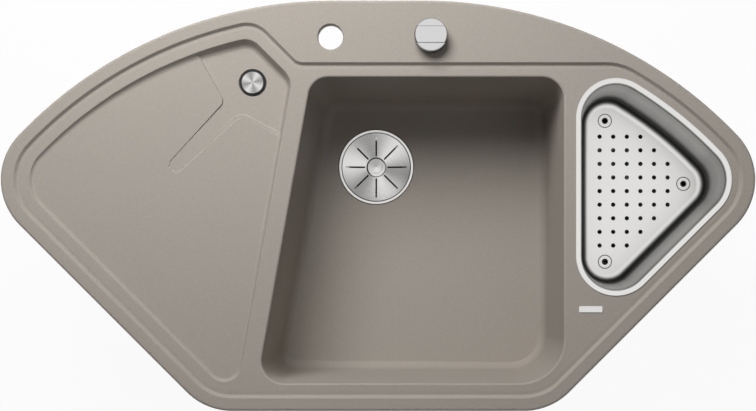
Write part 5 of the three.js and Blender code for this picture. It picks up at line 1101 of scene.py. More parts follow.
def claw_form():
    """A clip's claw, drawn below the origin and pointing along X."""
    arm = filleted([(-4.5, -47.5), (28, -47.5, 2.6), (28, -40.6, 0.5), (25.6, -40.6, 0.5),
                    (25.6, -45, 0.8), (-4.5, -45)])
    claw = loft("claw", [[Vector((x, y, z)) * MM for x, z in arm] for y in (-7, 7)])
    plan = polygon((-4.5, -7, 4), (28.2, -7, 1.5), (28.2, 7, 1.5), (-4.5, 7, 4))
    keep(claw, moulded("plan", plan, [(0, -50), (0, -30)]))
    add(claw, block("rib", (8, -1.6, -45.6), (22, 1.6, -44.2), 0.6))
    cut(claw, drill(2.8, -60, -30, steps=24))
    for y in (-3.5, 0, 3.5):
        notch = block("notch", (20, -0.9, -0.9), (32, 0.9, 0.9))
        notch.data.transform(at(0, y, -40.6) @ about("X", 45))
        cut(claw, notch)
    rounded_edges(claw, 0.25, 50)
    return claw


def clip_pieces():
    claw = claw_form()
    screw = turned("screw", [(0, -51.8), (5, -51.8, 1), (5, -47.8, 0.5), (2.5, -47.8)]
                   + thread(2.5, -46.5, -6, 1.5, 0.35) + [(1.4, -4.4), (0, -4.3)], steps=32)
    cross = joined([block("slot", (-0.6, -3.6, -52.5), (0.6, 3.6, -50)),
                    block("slot", (-3.6, -0.6, -52.6), (3.6, 0.6, -50.1))])
    combine("DIFFERENCE", screw, [cross], solver="EXACT", use_self=True)
    for number, (x, y, heading) in enumerate(clip_places(), 1):
        spot = at(x, y) @ Matrix.Rotation(heading, 4, "Z")
        settled(copied(claw, f"claw_{number}", spot), "zinc", f"clip_claw_{number}")
        settled(copied(screw, f"fixing_screw_{number}", spot), "zinc", f"clip_screw_{number}")
    for piece in (claw, screw):
        bpy.data.objects.remove(piece)


def knob_piece():
    x, y = KNOB
    bar_half = 11
    knob = turned("waste_control_knob", [
        (0, 12.1), (21.6, 12.1, 0.3), (21.6, 9.7, 0.2), (23, 9.7, 0.3), (23, 27.5, 0.5),
        (21.5, 29.1, 0.3), (0, 29.1)], KNOB, 128)
    for side in (-1, 1):
        for name, far, bottom, top, rounding, steps in (
                ("grip_groove", 12.1, 25.1, 27, 0.3, 2), ("finger_step", 34, 26.7, 40, 0.5, 3)):
            low, high = sorted((side * bar_half, side * far))
            cut(knob, block(name, (x - 40, y + low, bottom), (x + 40, y + high, top), rounding,
                            steps))
    cut(knob, drill(4.3, 11, 24.4, KNOB))
    settled(knob, "knob", "control_knob", "knob", angle=30, edges=0.35)


def control_pieces():
    knob_piece()
    settled(turned("knob_collar", ring_profile(17.1, 21, 9.3, 11.8, 0.5), KNOB), "black",
            "control_escutcheon")
    settled(turned("knob_spindle", [
        (0, -40.7), (3.2, -40.7, 0.3), (4, -39.9, 0.3), (4, 10, 0.3), (3.4, 11, 0.2),
        (3.4, 13, 0.2), (4, 14, 0.3), (4, 23.4, 0.3), (3.4, 24.1), (0, 24.1)], KNOB, 40),
        "brass", "control_spindle", "knob")
    housing = turned("control_body", [
        (0, -64.7), (21, -64.7, 2), (22, -58, 0.6), (22, -49.2, 0.3), (21.3, -48.9, 0.2),
        (21.3, -48.1, 0.2), (22, -47.8, 0.3), (22, -31.5, 1.2), (16.8, -30.7)]
        + thread(16.8, -29.5, 8, 2, 0.7) + [(16.8, 11.8, 0.4), (0, 11.8)], KNOB)
    cut(housing, drill(4.35, -41, 14, KNOB))
    boss = turned("boss", ring_profile(1.6, 3.6, -64.6, -50, 0.5), (18, 0), 24)
    add(housing, copies(boss, fan(3, KNOB, 150)))
    settled(housing, "black", "control_housing")
    settled(turned("control_washer", ring_profile(17.1, 21, -6.3, -4.3, 0.5), KNOB), "rubber",
            "control_seal")
    nut = turned("control_nut", [(17.1, -14.6, 0.4), (22.6, -14.6, 0.5), (24, -13.4, 0.3),
                                 (24, -7.6, 0.3), (23, -6.6, 0.4), (17.1, -6.6, 0.4)], KNOB)
    settled(six_sided(nut, KNOB, 21.6, -14.6, -6.6), "brass", "control_lock_nut", edges=0.3)


def corded(piece, path, length):
    """Turns the path's points into lists and keeps none of them."""
    list(path[0])
    [list(point) for point in path]


def cable_pieces():
    top, end = Vector((*KNOB, -65)), Vector((WASTE[0], CRANK_Y, WIRE_Z))
    shares = [(0, 0.02, 0.31), (0, 0.12, 0.64), (0.07, 0.43, 0.91), (0.29, 0.84, 1.01),
              (0.59, 0.99, 1), (0.83, 1, 1)]
    passed = [top + Vector([a * b for a, b in zip(share, end - top)]) for share in shares]
    stops = [top, top - Vector((0, 0, 12)), *passed, Vector((-14.81, CRANK_Y, WIRE_Z))]
    path, length = route(stops, 110)
    outer = [3.0 if 3 < i < 107 else 2.9 for i in range(len(path))]
    sheath = settled(tube("cable_outer", path, outer, 1.6, 16), "cable", "cable_sheath",
                     angle=50)
    corded(sheath, path, length)
    settled(turned("cable_end_rod", [
        (0, -47.9), (2.4, -47.9, 0.5), (3, -47.3, 0.4), (3, -44.5, 0.4), (2.5, -43.9, 0.4),
        (1.1, -43.9, 0.3), (1.1, -3.9, 0.3), (0, -3.8)], (0, CRANK_Y, WIRE_Z), 24, "X"),
        "zinc", "cable_pull_rod", "pull_rod")


def cup_piece():
    """The main waste's flange, with the cross that holds the hollow screw."""
    x, y = WASTE
    cup = turned("waste_cup", [
        (33, -201.2, 0.4), (42.2, -201.2, 1.6), (42.2, -190.1, 1), (54.5, -184.1, 1.2),
        (54.5, -182.4, 0.5), (57.2, -182.2, 0.3), (57.5, -181.6, 0.5), (57.2, -181, 0.4),
        (53.6, -181, 0.6), (53.3, -182.7, 0.6), (41, -188.7, 2), (41, -200, 1.2),
        (33, -200, 0.4)], WASTE, 128)
    for across, up in ((35, 3.5), (3.5, 35)):
        add(cup, block("bridge", (x - across, y - up, -201.2), (x + across, y + up, -200)))
    add(cup, drill(10, -201.2, -200, WASTE, 48))
    cut(cup, drill(5.4, -203, -198, WASTE))
    settled(cup, "flange", "waste_flange", angle=30)


def pot_piece():
    """The pot under the bowl, with spout, overflow port, lever gland and cable bracket."""
    x, y = WASTE
    pipe, port, lever = (x, y, PIPE_Z), (x, y, PORT_Z), (LEVER_X, 0, LEVER_Z)
    pot = turned("waste_trap_pot", [
        (0, POT_BOTTOM), (40, POT_BOTTOM, 2), (50, POT_BOTTOM + 7, 8), (50, -206.5, 1.5),
        (54, -203.2, 1), (59.4, -202.6, 0.5), (60, -202, 0.4), (60, POT_TOP, 0.5),
        (0, POT_TOP)], WASTE, 112)
    add(pot,
        turned("spout", [(0, 0), (20, 0), (20, 104, 0.8), (0, 104)], pipe, 56, "X"),
        turned("port", [(0, 0), (9, 0), (9, -58, 0.6), (9.5, -60, 0.3), (9.5, -62, 0.3),
                        (9, -64, 0.6), (9, -72, 0.3), (9.5, -74, 0.3), (8.4, -80), (0, -80)],
               port, 40, "X"),
        turned("gland", [(0, y), (8, y), (8, 119.6, 0.8), (7.2, 120.5), (0, 120.5)], lever, 40,
               "Y"))
    cut(pot, turned("hollow", [(0, POT_BOTTOM + 3.5), (38, POT_BOTTOM + 3.5, 2),
                               (46.5, POT_BOTTOM + 10, 6), (46.5, -190), (0, -190)], WASTE, 112))
    hub = turned("hub", [(0, -217.2), (10, -217.2, 0.6), (10, -205.2, 0.8), (0, -205.2)],
                 WASTE, 40)
    for across, up in ((48, 3.5), (3.5, 48)):
        add(hub, block("web", (x - across, y - up, -217.2), (x + across, y + up, -205.2)))
    add(pot, hub,
        block("bracket", (x - 2, y + 47.5, WIRE_Z - 6), (x + 2, CRANK_Y + 7.5, -236.6), 0.8),
        block("gusset", (x - 6, y + 46.5, -248), (x + 6, y + 51.5, -237.5), 0.8))
    cut(pot,
        drill(3.35, x - 8, x + 8, (0, CRANK_Y, WIRE_Z), 40, "X"),
        drill(17.8, 38, 106, pipe, 40, "X"),
        drill(7, -82, -38, port, 40, "X"),
        drill(3.35, 98, 123, lever, 32, "Y"),
        drill(5.4, -219, -204, WASTE))
    settled(pot, "white", "waste_pot", angle=32)


def lever_piece():
    """The rocker: a shaft, an arm under the stem and a forked crank, drawn level."""
    y = WASTE[1]
    lever = turned("rocker", [(0, y - 3), (2.6, y - 3, 0.3), (3, y - 2.6, 0.2),
                              (3, 125.6, 0.3), (2.6, 126), (0, 126)], steps=32, along="Y")
    add(lever,
        block("arm", (0, y - 3, -1.5), (30, y + 3, 1.5), 0.6),
        turned("tip", [(0, y - 3), (3, y - 3, 0.6), (3, y + 3, 0.6), (0, y + 3)], (30, 0), 32,
               "Y"),
        block("crank", (-2, CRANK_Y - 2.5, -18), (2, CRANK_Y + 2.5, 0.5), 0.5))
    cut(lever, block("fork", (-4, CRANK_Y - 1.6, -22), (4, CRANK_Y + 1.6, -12.5), 0.5))
    lever.data.transform(at(LEVER_X, 0, LEVER_Z) @ about("Y", 8))
    settled(lever, "zinc", "waste_rocker_lever", "lever")


def waste_pieces():
    cup_piece()
    settled(turned("flange_seal", ring_profile(55.7, 57.5, -183.7, -182.5, 0.3), WASTE),
            "rubber", "waste_top_seal")
    settled(turned("pot_seal", [
        (46, -198.3, 0.3), (58, -198.3, 0.6), (58, -195.3, 0.6), (52.6, -195.3, 0.3),
        (52, -195.7, 0.2), (51.4, -195.3, 0.3), (46, -195.3, 0.3)], WASTE),
        "rubber", "waste_lower_seal")
    pot_piece()
    bolt = turned("hollow_screw", [(3.15, -218.7, 0.3), (4.4, -218.7)]
                  + thread(5, -218, -202, 1.6, 0.45)
                  + [(5, -199.7), (8.4, -199.7, 0.3), (9, -199.1, 0.3), (9, -198.1, 0.3),
                     (8, -197.3, 0.4), (3.15, -197.3, 0.3)], WASTE, 48)
    settled(six_sided(bolt, WASTE, 8.2, -218.7, -197.3), "brass", "waste_hollow_bolt",
            edges=0.15)
    settled(turned("lifting_stem", [
        (0, -230.7), (1.6, -230.7, 0.8), (2.8, -229.5, 0.6), (2.8, -197.2, 0.4),
        (2.3, -196.7), (0, -196.7)], WASTE, 32), "bright", "waste_lifter_stem", "lifter")
    lever_piece()


def dish_height(radius):
    """Height of the strainer's top, which dips towards its middle."""
    share = (52.7 - radius) / 37.7
    return BOWL_FLOOR - 5.3 * (1 - (1 - share) ** 2)


def strainer_pieces(sizes):
    thickness = 1.2
    radii = [52.4, 50, 47, 44, 41, 38, 35, 32, 29, 26, 23, 20, 17.5, 15.3]
    top = [(radius, dish_height(radius)) for radius in radii]
    under = [(radius, height - thickness) for radius, height in reversed(top[1:])]
    edge = [(52.5, -182.15), (52.7, -181.9), (52.7, dish_height(52.7) - 0.35)]
    plate = turned("strainer_dish", under + edge + top, WASTE, 160)
    half = sizes.strainer_slot / MM
    slot = moulded("slot", outline([(17 + half, 0, half), (47.5 - half, 0, half)]),
                   [(0.25, -195), (0, -185.9), (0, -180)])
    cut(plate, copies(slot, fan(8, WASTE)))
    settled(plate, "dish", "strainer_plate", "strainer", angle=30)
    top = dish_height(15) + 3.6
    button = turned("strainer_button", [
        (0, top - 4.8), (15, top - 4.8, 0.3), (15, top - 1.9, 0.5), (14.6, top - 0.7, 0.8),
        (12.9, top, 0.9), (11, top - 0.12, 0.6), (8, top - 0.75, 3), (0, top - 1.2)], WASTE, 112)
    settled(button, "button", "strainer_knob", "strainer", angle=60)
    post = dish_height(15) - 1.5
    settled(turned("valve_plug", [
        (0, -196.4), (37.5, -196.4, 0.6), (38.5, -195.6, 0.4), (38.5, -193.8, 0.6),
        (37.3, -193.4, 0.6), (34, -193.4, 0.4), (33, -194, 0.4), (14, -194, 1.5),
        (8, -190.4, 2), (8, post, 0.4), (0, post)], WASTE), "grey", "strainer_plug", "strainer")
    settled(turned("valve_seal", [
        (34, -199.7, 0.3), (38.6, -199.7, 0.4), (39.6, -198.6, 0.5), (38.8, -196.7, 0.5),
        (34, -196.7, 0.3)], WASTE), "rubber", "strainer_plug_seal", "strainer")


def small_waste_pieces():
    centre = SMALL_WASTE
    cup = turned("small_waste_cup", [(18, -167, 0.3), (19.7, -167)]
                 + thread(20.4, -166, -140, 2, 0.6) + [
        (20.4, -127.4, 0.8), (31, -122.2, 0.6), (34.7, -122.2, 0.3), (35, -121.6, 0.5),
        (34.7, -121, 0.4), (31.2, -121, 0.6), (20.4, -126.2, 0.8), (18, -126.2, 0.8)],
        centre, 112)
    settled(cup, "small_steel", "small_waste_flange")
    settled(turned("small_flange_seal", ring_profile(32, 35, -123.7, -122.5, 0.3), centre),
            "rubber", "small_waste_top_seal")
    settled(turned("small_pad_seal", ring_profile(20.8, 32, -134.3, -131.3, 0.6), centre),
            "rubber", "small_waste_lower_seal")
    nut = turned("small_ring_nut", ring_profile(20.8, 32, -142.6, -134.6, 1), centre)
    settled(ridged(nut, (*centre, -138), 33.4, 6, 12, 3), "white", "small_waste_lock_nut",
            edges=0.3)
    strainer = turned("small_dish", [
        (0, -125.6), (20.4, -125.6, 0.6), (29.2, -121.3, 0.3), (29.5, -120.6, 0.4),
        (29.2, -120.05, 0.3), (20.4, -124.4, 0.8), (5.4, -124.4, 0.8), (4, -120, 1),
        (4.3, -117.6, 0.8), (7, -115.8, 0.6), (7, -114.2, 0.6), (6.2, -113.6, 0.5),
        (0, -113.6)], centre)
    cut(strainer, copies(drill(2.5, -130, -120, (12.5, 0), 20), fan(6, centre)))
    settled(strainer, "small_steel", "small_waste_strainer", "small_strainer")


def overflow_pieces():
    settled(turned("overflow_ring", [(10, -44, 0.3), (12, -44)]
                   + thread(12.5, -43, -20, 2, 0.5) + [
        (12.5, -8.7, 0.4), (18.9, -8.7, 0.3), (18.9, -7.3, 0.5), (12.5, -7.3, 0.5),
        (10, -8.3, 0.5)], OVERFLOW, 72), "black", "overflow_inlet")
    cap = turned("overflow_disc", [
        (0, -4.9), (15.2, -4.9, 0.3), (15.8, -4.5, 0.3), (15.8, -3.3, 0.5), (15, -2.7, 0.6),
        (0, -2.7)], OVERFLOW)
    leg = add(block("leg", (7.6, -2, -13.8), (9.2, 2, -3.8), 0.4),
              block("hook", (8.2, -2, -13.8), (9.6, 2, -12.2), 0.4))
    for piece in (block("pad", (12, -1.5, -7), (15, 1.5, -3.8), 0.4), leg):
        add(cap, copies(piece, fan(3, OVERFLOW)))
    settled(cap, "cap", "overflow_cap", "overflow_cap", angle=40)
    settled(turned("overflow_washer", ring_profile(12.8, 22, -19.8, -17.3, 0.5), OVERFLOW),
            "rubber", "overflow_seal")
    nut = turned("overflow_nut", ring_profile(12.8, 22, -27.1, -20.1, 0.8), OVERFLOW)
    settled(ridged(nut, (*OVERFLOW, -23), 23.2, 6, 10, 2.6), "white", "overflow_lock_nut",
            edges=0.3)
    settled(turned("hose_barb", [
        (7, -73.3, 0.3), (8.4, -73.3, 0.2), (9, -71.5, 0.2), (8.6, -68, 0.2), (9, -66.5, 0.2),
        (8.6, -63, 0.2), (9, -61.5, 0.2), (8.8, -49.3, 0.6), (15.5, -46.8, 0.8),
        (15.5, -32, 0.6), (13, -32, 0.4), (13, -44.3, 0.3), (7, -44.3, 0.5)], OVERFLOW, 72),
        "white", "overflow_hose_spigot")


def hose_clip(name):
    """A worm-drive clip, drawn round the origin with its screw on the X axis."""
    band = turned(name, [
        (13.65, -4, 0.2), (14.6, -4, 0.3), (15.1, -3.4, 0.2), (14.7, -2.8, 0.2),
        (14.7, 2.8, 0.2), (15.1, 3.4, 0.2), (14.6, 4, 0.3), (13.65, 4, 0.2)], steps=64)
    cut(band, copies(block("notch", (14.2, -0.5, -2.2), (16, 0.5, 2.2)),
                     [about("Z", 5 * i) for i in range(12, 60)]))
    screw = turned("worm_screw", [(0, 3), (2.2, 3), (2.2, 7.4, 0.2), (3.2, 7.6, 0.3),
                                  (3.2, 10.6, 0.6), (0, 10.6)], (16.6, 0), 24, "Y")
    return add(band, block("worm_case", (14, -5, -3.9), (19, 5, 3.9), 1.2), screw)


def hose_pieces(sizes):
    x, y = OVERFLOW
    waste_x, waste_y = WASTE
    drop = Vector((x, y, PORT_Z))
    knee = Vector((waste_x - 110, waste_y, PORT_Z))
    toward = (knee - Vector((15, 0, 0)) - drop).normalized()
    stops = [(x, y, -49.6), (x, y, -73.3), (x, y, PORT_Z + 72),
             drop + Vector((0, 0, 20)) + toward * 15, drop + toward * 60, knee,
             (waste_x - 92, waste_y, PORT_Z), (waste_x - 50.3, waste_y, PORT_Z)]
    wave = [11.6, 12.0, 12.9, 13.3, 12.9, 12.0]
    path, length = route(stops, sizes.hose_ribs * len(wave))
    outer = [wave[i % len(wave)] for i in range(len(path))]
    hose = settled(tube("overflow_tube", path, outer, 10.2, 28, len(wave)), "hose",
                   "overflow_hose", angle=60)
    corded(hose, path, length)
    for name, node, place in (
            ("hose_clip_top", "hose_clamp_upper", at(x, y, -58.6) @ about("Z", 144)),
            ("hose_clip_bottom", "hose_clamp_lower",
             at(-68.1, waste_y, PORT_Z) @ about("Y", 90) @ about("Z", 200))):
        clip = hose_clip(name)
        clip.data.transform(place)
        settled(clip, "zinc", node, edges=0.12)


def tee_piece():
    centre = (TEE_X, WASTE[1], PIPE_Z)
    tee = turned("branch_tee", [
        (0, -36), (23.4, -36, 0.6), (23.4, -26, 0.3), (22.6, -25.4, 0.3), (22.6, 25.4, 0.3),
        (23.4, 26, 0.3), (23.4, 36, 0.6), (0, 36)], centre, 64, "X")
    add(tee, turned("outlet", [(0, -62), (23.4, -62, 0.6), (23.4, -46, 0.3),
                               (22.6, -45.4, 0.3), (22.6, 0), (0, 0)], centre, 64))
    cut(tee, drill(20.35, -37, 37, centre, 64, "X"), drill(17.8, -63, 0, centre, 64))
    settled(tee, "white", "waste_tee", edges=0.4)


def bend_piece():
    """The small bowl's pipe: down, round a bend and along to the tee."""
    bend, parts = 46, 24
    corner = Vector((*SMALL_WASTE, PIPE_Z))
    above, along = corner + Vector((0, 0, bend)), corner - Vector((bend, 0, 0))
    top, end = Vector((*SMALL_WASTE, -167.3)), Vector((143.2, corner.y, PIPE_Z))
    path = [top.lerp(above, step / 4) for step in range(4)]
    path += [(1 - t) ** 2 * above + 2 * t * (1 - t) * corner + t * t * along
             for t in [step / parts for step in range(parts + 1)]]
    path += [along.lerp(end, step / 6) for step in range(1, 7)]
    pipe = tube("small_bowl_pipe", [spot * MM for spot in path], [20] * len(path), 17.8, 48)
    settled(pipe, "white", "branch_pipe", angle=50)


def pipe_pieces():
    tee_piece()
    bend_piece()
    nut = turned("union_ring", [(20.7, -175, 0.3), (26.4, -175, 1), (26.4, -159, 1),
                                (20.7, -159, 0.3)], SMALL_WASTE)
    settled(ridged(nut, (*SMALL_WASTE, -167), 27.6, 10, 14, 2.4), "white", "branch_union_nut",
            edges=0.3)
    for end, side in (("pot", -1), ("branch", 1)):
        place = at(TEE_X + side * 36, WASTE[1], PIPE_Z) @ about("Y", side * 90)
        nut = turned(f"grip_nut_{end}", [
            (20.4, 8.1, 0.5), (26, 8.1, 1.5), (29, 5.5, 1), (29, -10, 0.8), (23.8, -10, 0.4),
            (23.8, 5.6, 0.3), (20.4, 5.6, 0.3)], steps=72)
        ridged(nut, (0, 0), 30.4, 12, 14, 2.8)
        nut.data.transform(place)
        settled(nut, "white", f"slip_nut_{end}", edges=0.3)
        cone = turned(f"cone_ring_{end}", [
            (20.3, 0.3, 0.3), (23.1, 0.3, 0.3), (23.1, 2.4, 0.4), (21.4, 5.3, 0.4),
            (20.3, 5.3, 0.3)], steps=56)
        cone.data.transform(place)
        settled(cone, "rubber", f"cone_seal_{end}")


def basket_profile():
    """The basket's sheet from the floor up its inside, over the rim and down its outside."""
    top, floor = BASKET_TOP, BASKET_FLOOR
    sheet, slope = 1.2, 10 / 79
    inside = [(31.4, floor)]
    inside += [(18 + 13 * run, floor + 13 - 13 * rise) for run, rise in reversed(quarter(9))]
    inside += [(13, floor + 48), (8 + slope * 6, top - 6), (8 + slope * 3.2, top - 3.2)]
    inside += [(8 - 2.4 * run + slope * 2.2, top - 2.4 + 2.4 * rise)
               for run, rise in quarter(5)]
    rim = [(3, top), (0.5, top), (0.15, top - 0.12), (0, top - 0.45), (0, top - 0.85),
           (0.2, top - sheet), (5.2, top - sheet), (6.3, top - 1.6), (6.8, top - 2.6),
           (8 + slope * 5 - sheet, top - 5), (13 - sheet, floor + 48)]
    outside = [(18 - sheet + (13 + sheet) * run, floor + 13 - (13 + sheet) * rise)
               for run, rise in quarter(9)]
    return inside + rim + outside


def basket_piece(sizes):
    floor, hole = BASKET_FLOOR, sizes.basket_hole / MM
    basket = moulded("steel_basket", outline(basket_circles()), basket_profile())
    left, rear = BASKET_LEFT + 45.7, basket_circles()[3][1] - 16.2
    places = [at(left + column * HOLE_PITCH, rear - row * HOLE_PITCH)
              for row, count in enumerate(HOLE_ROWS) for column in range(count)]
    punch = turned("punch", [
        (0, floor - 4), (hole, floor - 4), (hole, floor - 0.25), (hole + 0.35, floor),
        (hole + 0.35, floor + 2), (0, floor + 2)], steps=16)
    cut(basket, copies(punch, places))
    for place in foot_places():
        cut(basket, drill(4.7, floor - 4, floor + 2, place), turned("dimple", [
            (9.1, floor - 0.45, 0.3), (10.3, floor - 0.45, 0.3), (10.8, floor + 1),
            (8.6, floor + 1)], place, 64))
    settled(basket, "basket", "basket_shell", "basket", angle=32)


def foot_pieces():
    floor = BASKET_FLOOR
    foot = turned("foot", [
        (3, floor - 13.5, 0.5), (8.4, floor - 13.5, 1.2), (9.5, floor - 12.2, 0.8),
        (9, floor - 6, 2), (9.5, floor - 1.5, 0.6), (4.4, floor - 1.5, 0.3),
        (4.4, floor - 0.2, 0.2), (4.6, floor, 0.1), (3.2, floor, 0.3)], steps=56)
    for number, place in enumerate(foot_places(), 1):
        settled(copied(foot, f"rubber_foot_{number}", at(*place)), "black",
                f"basket_foot_{number}", "basket")
    bpy.data.objects.remove(foot)


# ---------------------------------------------------------------- stage, in metres

# Each lamp: its name, its place, its two sides and its power.
LAMPS = [("key_lamp", (-0.3, 0.95, 1.05), (0.95, 0.95), 25.0),
         ("fill_lamp", (1.1, -0.3, 2.2), (2.0, 2.0), 2.8),
         ("low_front_lamp", (0.6, -1.5, -0.16), (2.2, 0.22), 5.0),
         ("low_back_lamp", (-0.6, 1.5, -0.16), (2.2, 0.22), 5.0)]
LOWEST_AIM = -0.05
CAMERA_PLACE = (0.056, -0.104, 1.769)
CAMERA_LENS = 59.94
CAMERA_SHIFT = (-0.0529, 0.0985)
SKY_SEEN = 0.965                 # how bright the camera sees the sky, where 1 is white
FLOOR_SEEN = 0.94                # how much of the floor's white hides its shading


def pale_floor():
    bpy.ops.mesh.primitive_plane_add(size=16, location=(0, 0, CAD_BOX[0][2] - 0.0005))
    floor = bpy.context.object
    floor.name = "floor"
    finish = Finish("pale_floor", Roughness=0.8)
    finish.colours(finish.noise(3.0), (232, 232, 232), (236, 236, 236))
    glow = finish.node("ShaderNodeEmission", {}, {"Color": (1, 1, 1, 1), "Strength": 1.0})
    ray = finish.node("ShaderNodeLightPath", out="Is Camera Ray")
    seen = ray + ray.beside("Is Glossy Ray") + ray.beside("Is Transmission Ray")
    finish.feed(finish.output.inputs["Surface"], finish.node("ShaderNodeMixShader", {}, {
        0: finish.maths("MINIMUM", seen, 1.0) * FLOOR_SEEN, 1: finish.surface, 2: glow}))
    floor.data.materials.append(finish.material)


def studio_sky(fill, shine):
    """A sky that lights the sink a little, shines in metal and is nearly white when seen."""
    world = bpy.data.worlds.new("studio")
    bpy.context.scene.world = world
    world.use_nodes = True
    sky = Nodes(world.node_tree)
    ray = sky.node("ShaderNodeLightPath", out="Is Camera Ray")
    shiny = sky.maths("MAXIMUM", ray.beside("Is Glossy Ray"), ray.beside("Is Transmission Ray"))
    up = sky.node("ShaderNodeSeparateXYZ", {}, {
        0: sky.node("ShaderNodeTexCoord", out="Generated")}, out="Z")
    studio = sky.ramp(up, (0.35, 0.2), (0.8, 1.0)) * shine
    background = sky.tree.nodes["Background"].inputs
    sky.feed(background["Color"], (1, 1, 1, 1))
    sky.feed(background["Strength"], sky.mix(ray, sky.mix(shiny, fill, studio), SKY_SEEN))


def sink_stage(light):
    """Pale floor and sky, soft lamps and the camera above the sink."""
    deselect()
    pale_floor()
    studio_sky(light.fill, light.shine)
    for name, place, sides, power in LAMPS:
        bpy.ops.object.light_add(type="AREA", location=place)
        lamp = added(name)
        lamp.data.shape = "DISK" if sides[0] == sides[1] else "RECTANGLE"
        lamp.data.size, lamp.data.size_y = sides
        lamp.data.energy = power * light.brightness
        lamp.visible_glossy = lamp.visible_camera = False
        aim = Vector((0.0, 0.0, min(place[2], LOWEST_AIM))) - Vector(place)
        lamp.rotation_euler = aim.to_track_quat("-Z", "Y").to_euler()
    bpy.ops.object.camera_add(location=CAMERA_PLACE, rotation=(0, 0, 0))
    camera = added("camera")
    camera.data.sensor_width = 36.0
    camera.data.lens = CAMERA_LENS
    camera.data.shift_x, camera.data.shift_y = CAMERA_SHIFT
    bpy.context.scene.camera = camera
    bpy.context.scene.view_settings.view_transform = "Standard"


# ---------------------------------------------------------------- the add-on

def length(name, text, default, low, high):
    """A length that a user may set, given here in millimetres."""
    return FloatProperty(name=name, description=text, default=default * MM, min=low * MM,
                         max=high * MM, unit="LENGTH")


def tint(name, text, *shade):
    """A colour that a user may set, given here from 0 to 255."""
    return FloatVectorProperty(name=name, description=text, size=3, min=0, max=1,
                               subtype="COLOR_GAMMA", default=[part / 255 for part in shade])


class CornerSinkSizes(bpy.types.PropertyGroup):
    """Sizes that leave the joints and the fittings as they are."""
    bowl_mouth: length("Bowl mouth", "Rounding of the main bowl's mouth", 3, 1, 5)
    small_mouth: length("Small bowl mouth", "Rounding of the small bowl's mouth", 2, 1, 3)
    bowl_fillet: length("Bowl fillet", "Width of the rounding round the bowl's floor", 18, 8, 19)
    basket_hole: length("Basket hole", "Radius of the holes in the basket", 3, 1, 5)
    strainer_slot: length("Strainer slot", "Half the width of the strainer's slots", 1.3, 0.6, 2)
    hose_ribs: IntProperty(name="Hose ribs", description="Ribs along the overflow hose",
                           default=34, min=12, max=80)


class CornerSinkColours(bpy.types.PropertyGroup):
    """Colours of the sink's materials."""
    composite: tint("Composite", "Tint of the moulding", 163.5, 156.5, 148.5)
    steel: tint("Steel", "Tint of the stainless steel", 228, 227, 225)
    knob: tint("Knob", "Tint of the turning knob", 222, 222, 222)
    zinc: tint("Zinc", "Tint of the plated steel", 178, 182, 186)
    brass: tint("Brass", "Tint of the brass", 206, 174, 104)
    black: tint("Black plastic", "Tint of the black plastic", 34, 34, 36)
    white: tint("White plastic", "Tint of the white plastic", 218, 218, 214)
    grey: tint("Grey plastic", "Tint of the grey plastic", 84, 86, 88)
    hose: tint("Hose", "Tint of the overflow hose", 148, 150, 152)
    rubber: tint("Rubber", "Tint of the black rubber", 30, 30, 32)


class CornerSinkStage(bpy.types.PropertyGroup):
    """How bright the studio is."""
    brightness: FloatProperty(name="Brightness", description="Share of the lamps' power",
                              default=1.03, min=0, max=4, subtype="FACTOR")
    fill: FloatProperty(name="Fill", description="Light that comes from all round",
                        default=0.08, min=0, max=1, subtype="FACTOR")
    shine: FloatProperty(name="Shine", description="Brightness of the studio in shiny metal",
                         default=1.08, min=0, max=4, subtype="FACTOR")


class CORNER_SINK_OT_moulding(bpy.types.Operator):
    """Model the composite moulding with its deck, drainer and two bowls"""
    bl_idname = "corner_sink.moulding"
    bl_label = "Moulding"

    def execute(self, context):
        sink_piece(context.scene.corner_sink_sizes)
        return {"FINISHED"}


class CORNER_SINK_OT_badge(bpy.types.Operator):
    """Model the small steel plate on the right of the deck"""
    bl_idname = "corner_sink.badge"
    bl_label = "Blank badge"

    def execute(self, context):
        badge_piece()
        return {"FINISHED"}


class CORNER_SINK_OT_rim_seal(bpy.types.Operator):
    """Model the sealing strip under the rim"""
    bl_idname = "corner_sink.rim_seal"
    bl_label = "Rim seal"

    def execute(self, context):
        seal_piece()
        return {"FINISHED"}


class CORNER_SINK_OT_clips(bpy.types.Operator):
    """Model the six claws and screws that hold the rim down"""
    bl_idname = "corner_sink.clips"
    bl_label = "Fixing clips"

    def execute(self, context):
        clip_pieces()
        return {"FINISHED"}


class CORNER_SINK_OT_control(bpy.types.Operator):
    """Model the turning knob and what holds it in the deck"""
    bl_idname = "corner_sink.control"
    bl_label = "Waste control"

    def execute(self, context):
        control_pieces()
        return {"FINISHED"}


class CORNER_SINK_OT_cable(bpy.types.Operator):
    """Model the cable from the knob to the waste, and its end rod"""
    bl_idname = "corner_sink.cable"
    bl_label = "Control cable"

    def execute(self, context):
        cable_pieces()
        return {"FINISHED"}


class CORNER_SINK_OT_waste(bpy.types.Operator):
    """Model the flange, seals, pot, screw, stem and lever of the main waste"""
    bl_idname = "corner_sink.waste"
    bl_label = "Main waste"

    def execute(self, context):
        waste_pieces()
        return {"FINISHED"}


class CORNER_SINK_OT_strainer(bpy.types.Operator):
    """Model the lift-out strainer with its button, plug and seal"""
    bl_idname = "corner_sink.strainer"
    bl_label = "Strainer"

    def execute(self, context):
        strainer_pieces(context.scene.corner_sink_sizes)
        return {"FINISHED"}


class CORNER_SINK_OT_small_waste(bpy.types.Operator):
    """Model the small bowl's flange, seals, nut and strainer"""
    bl_idname = "corner_sink.small_waste"
    bl_label = "Small waste"

    def execute(self, context):
        small_waste_pieces()
        return {"FINISHED"}


class CORNER_SINK_OT_overflow(bpy.types.Operator):
    """Model the overflow's inlet, cap, washer, nut and hose barb"""
    bl_idname = "corner_sink.overflow"
    bl_label = "Overflow"

    def execute(self, context):
        overflow_pieces()
        return {"FINISHED"}


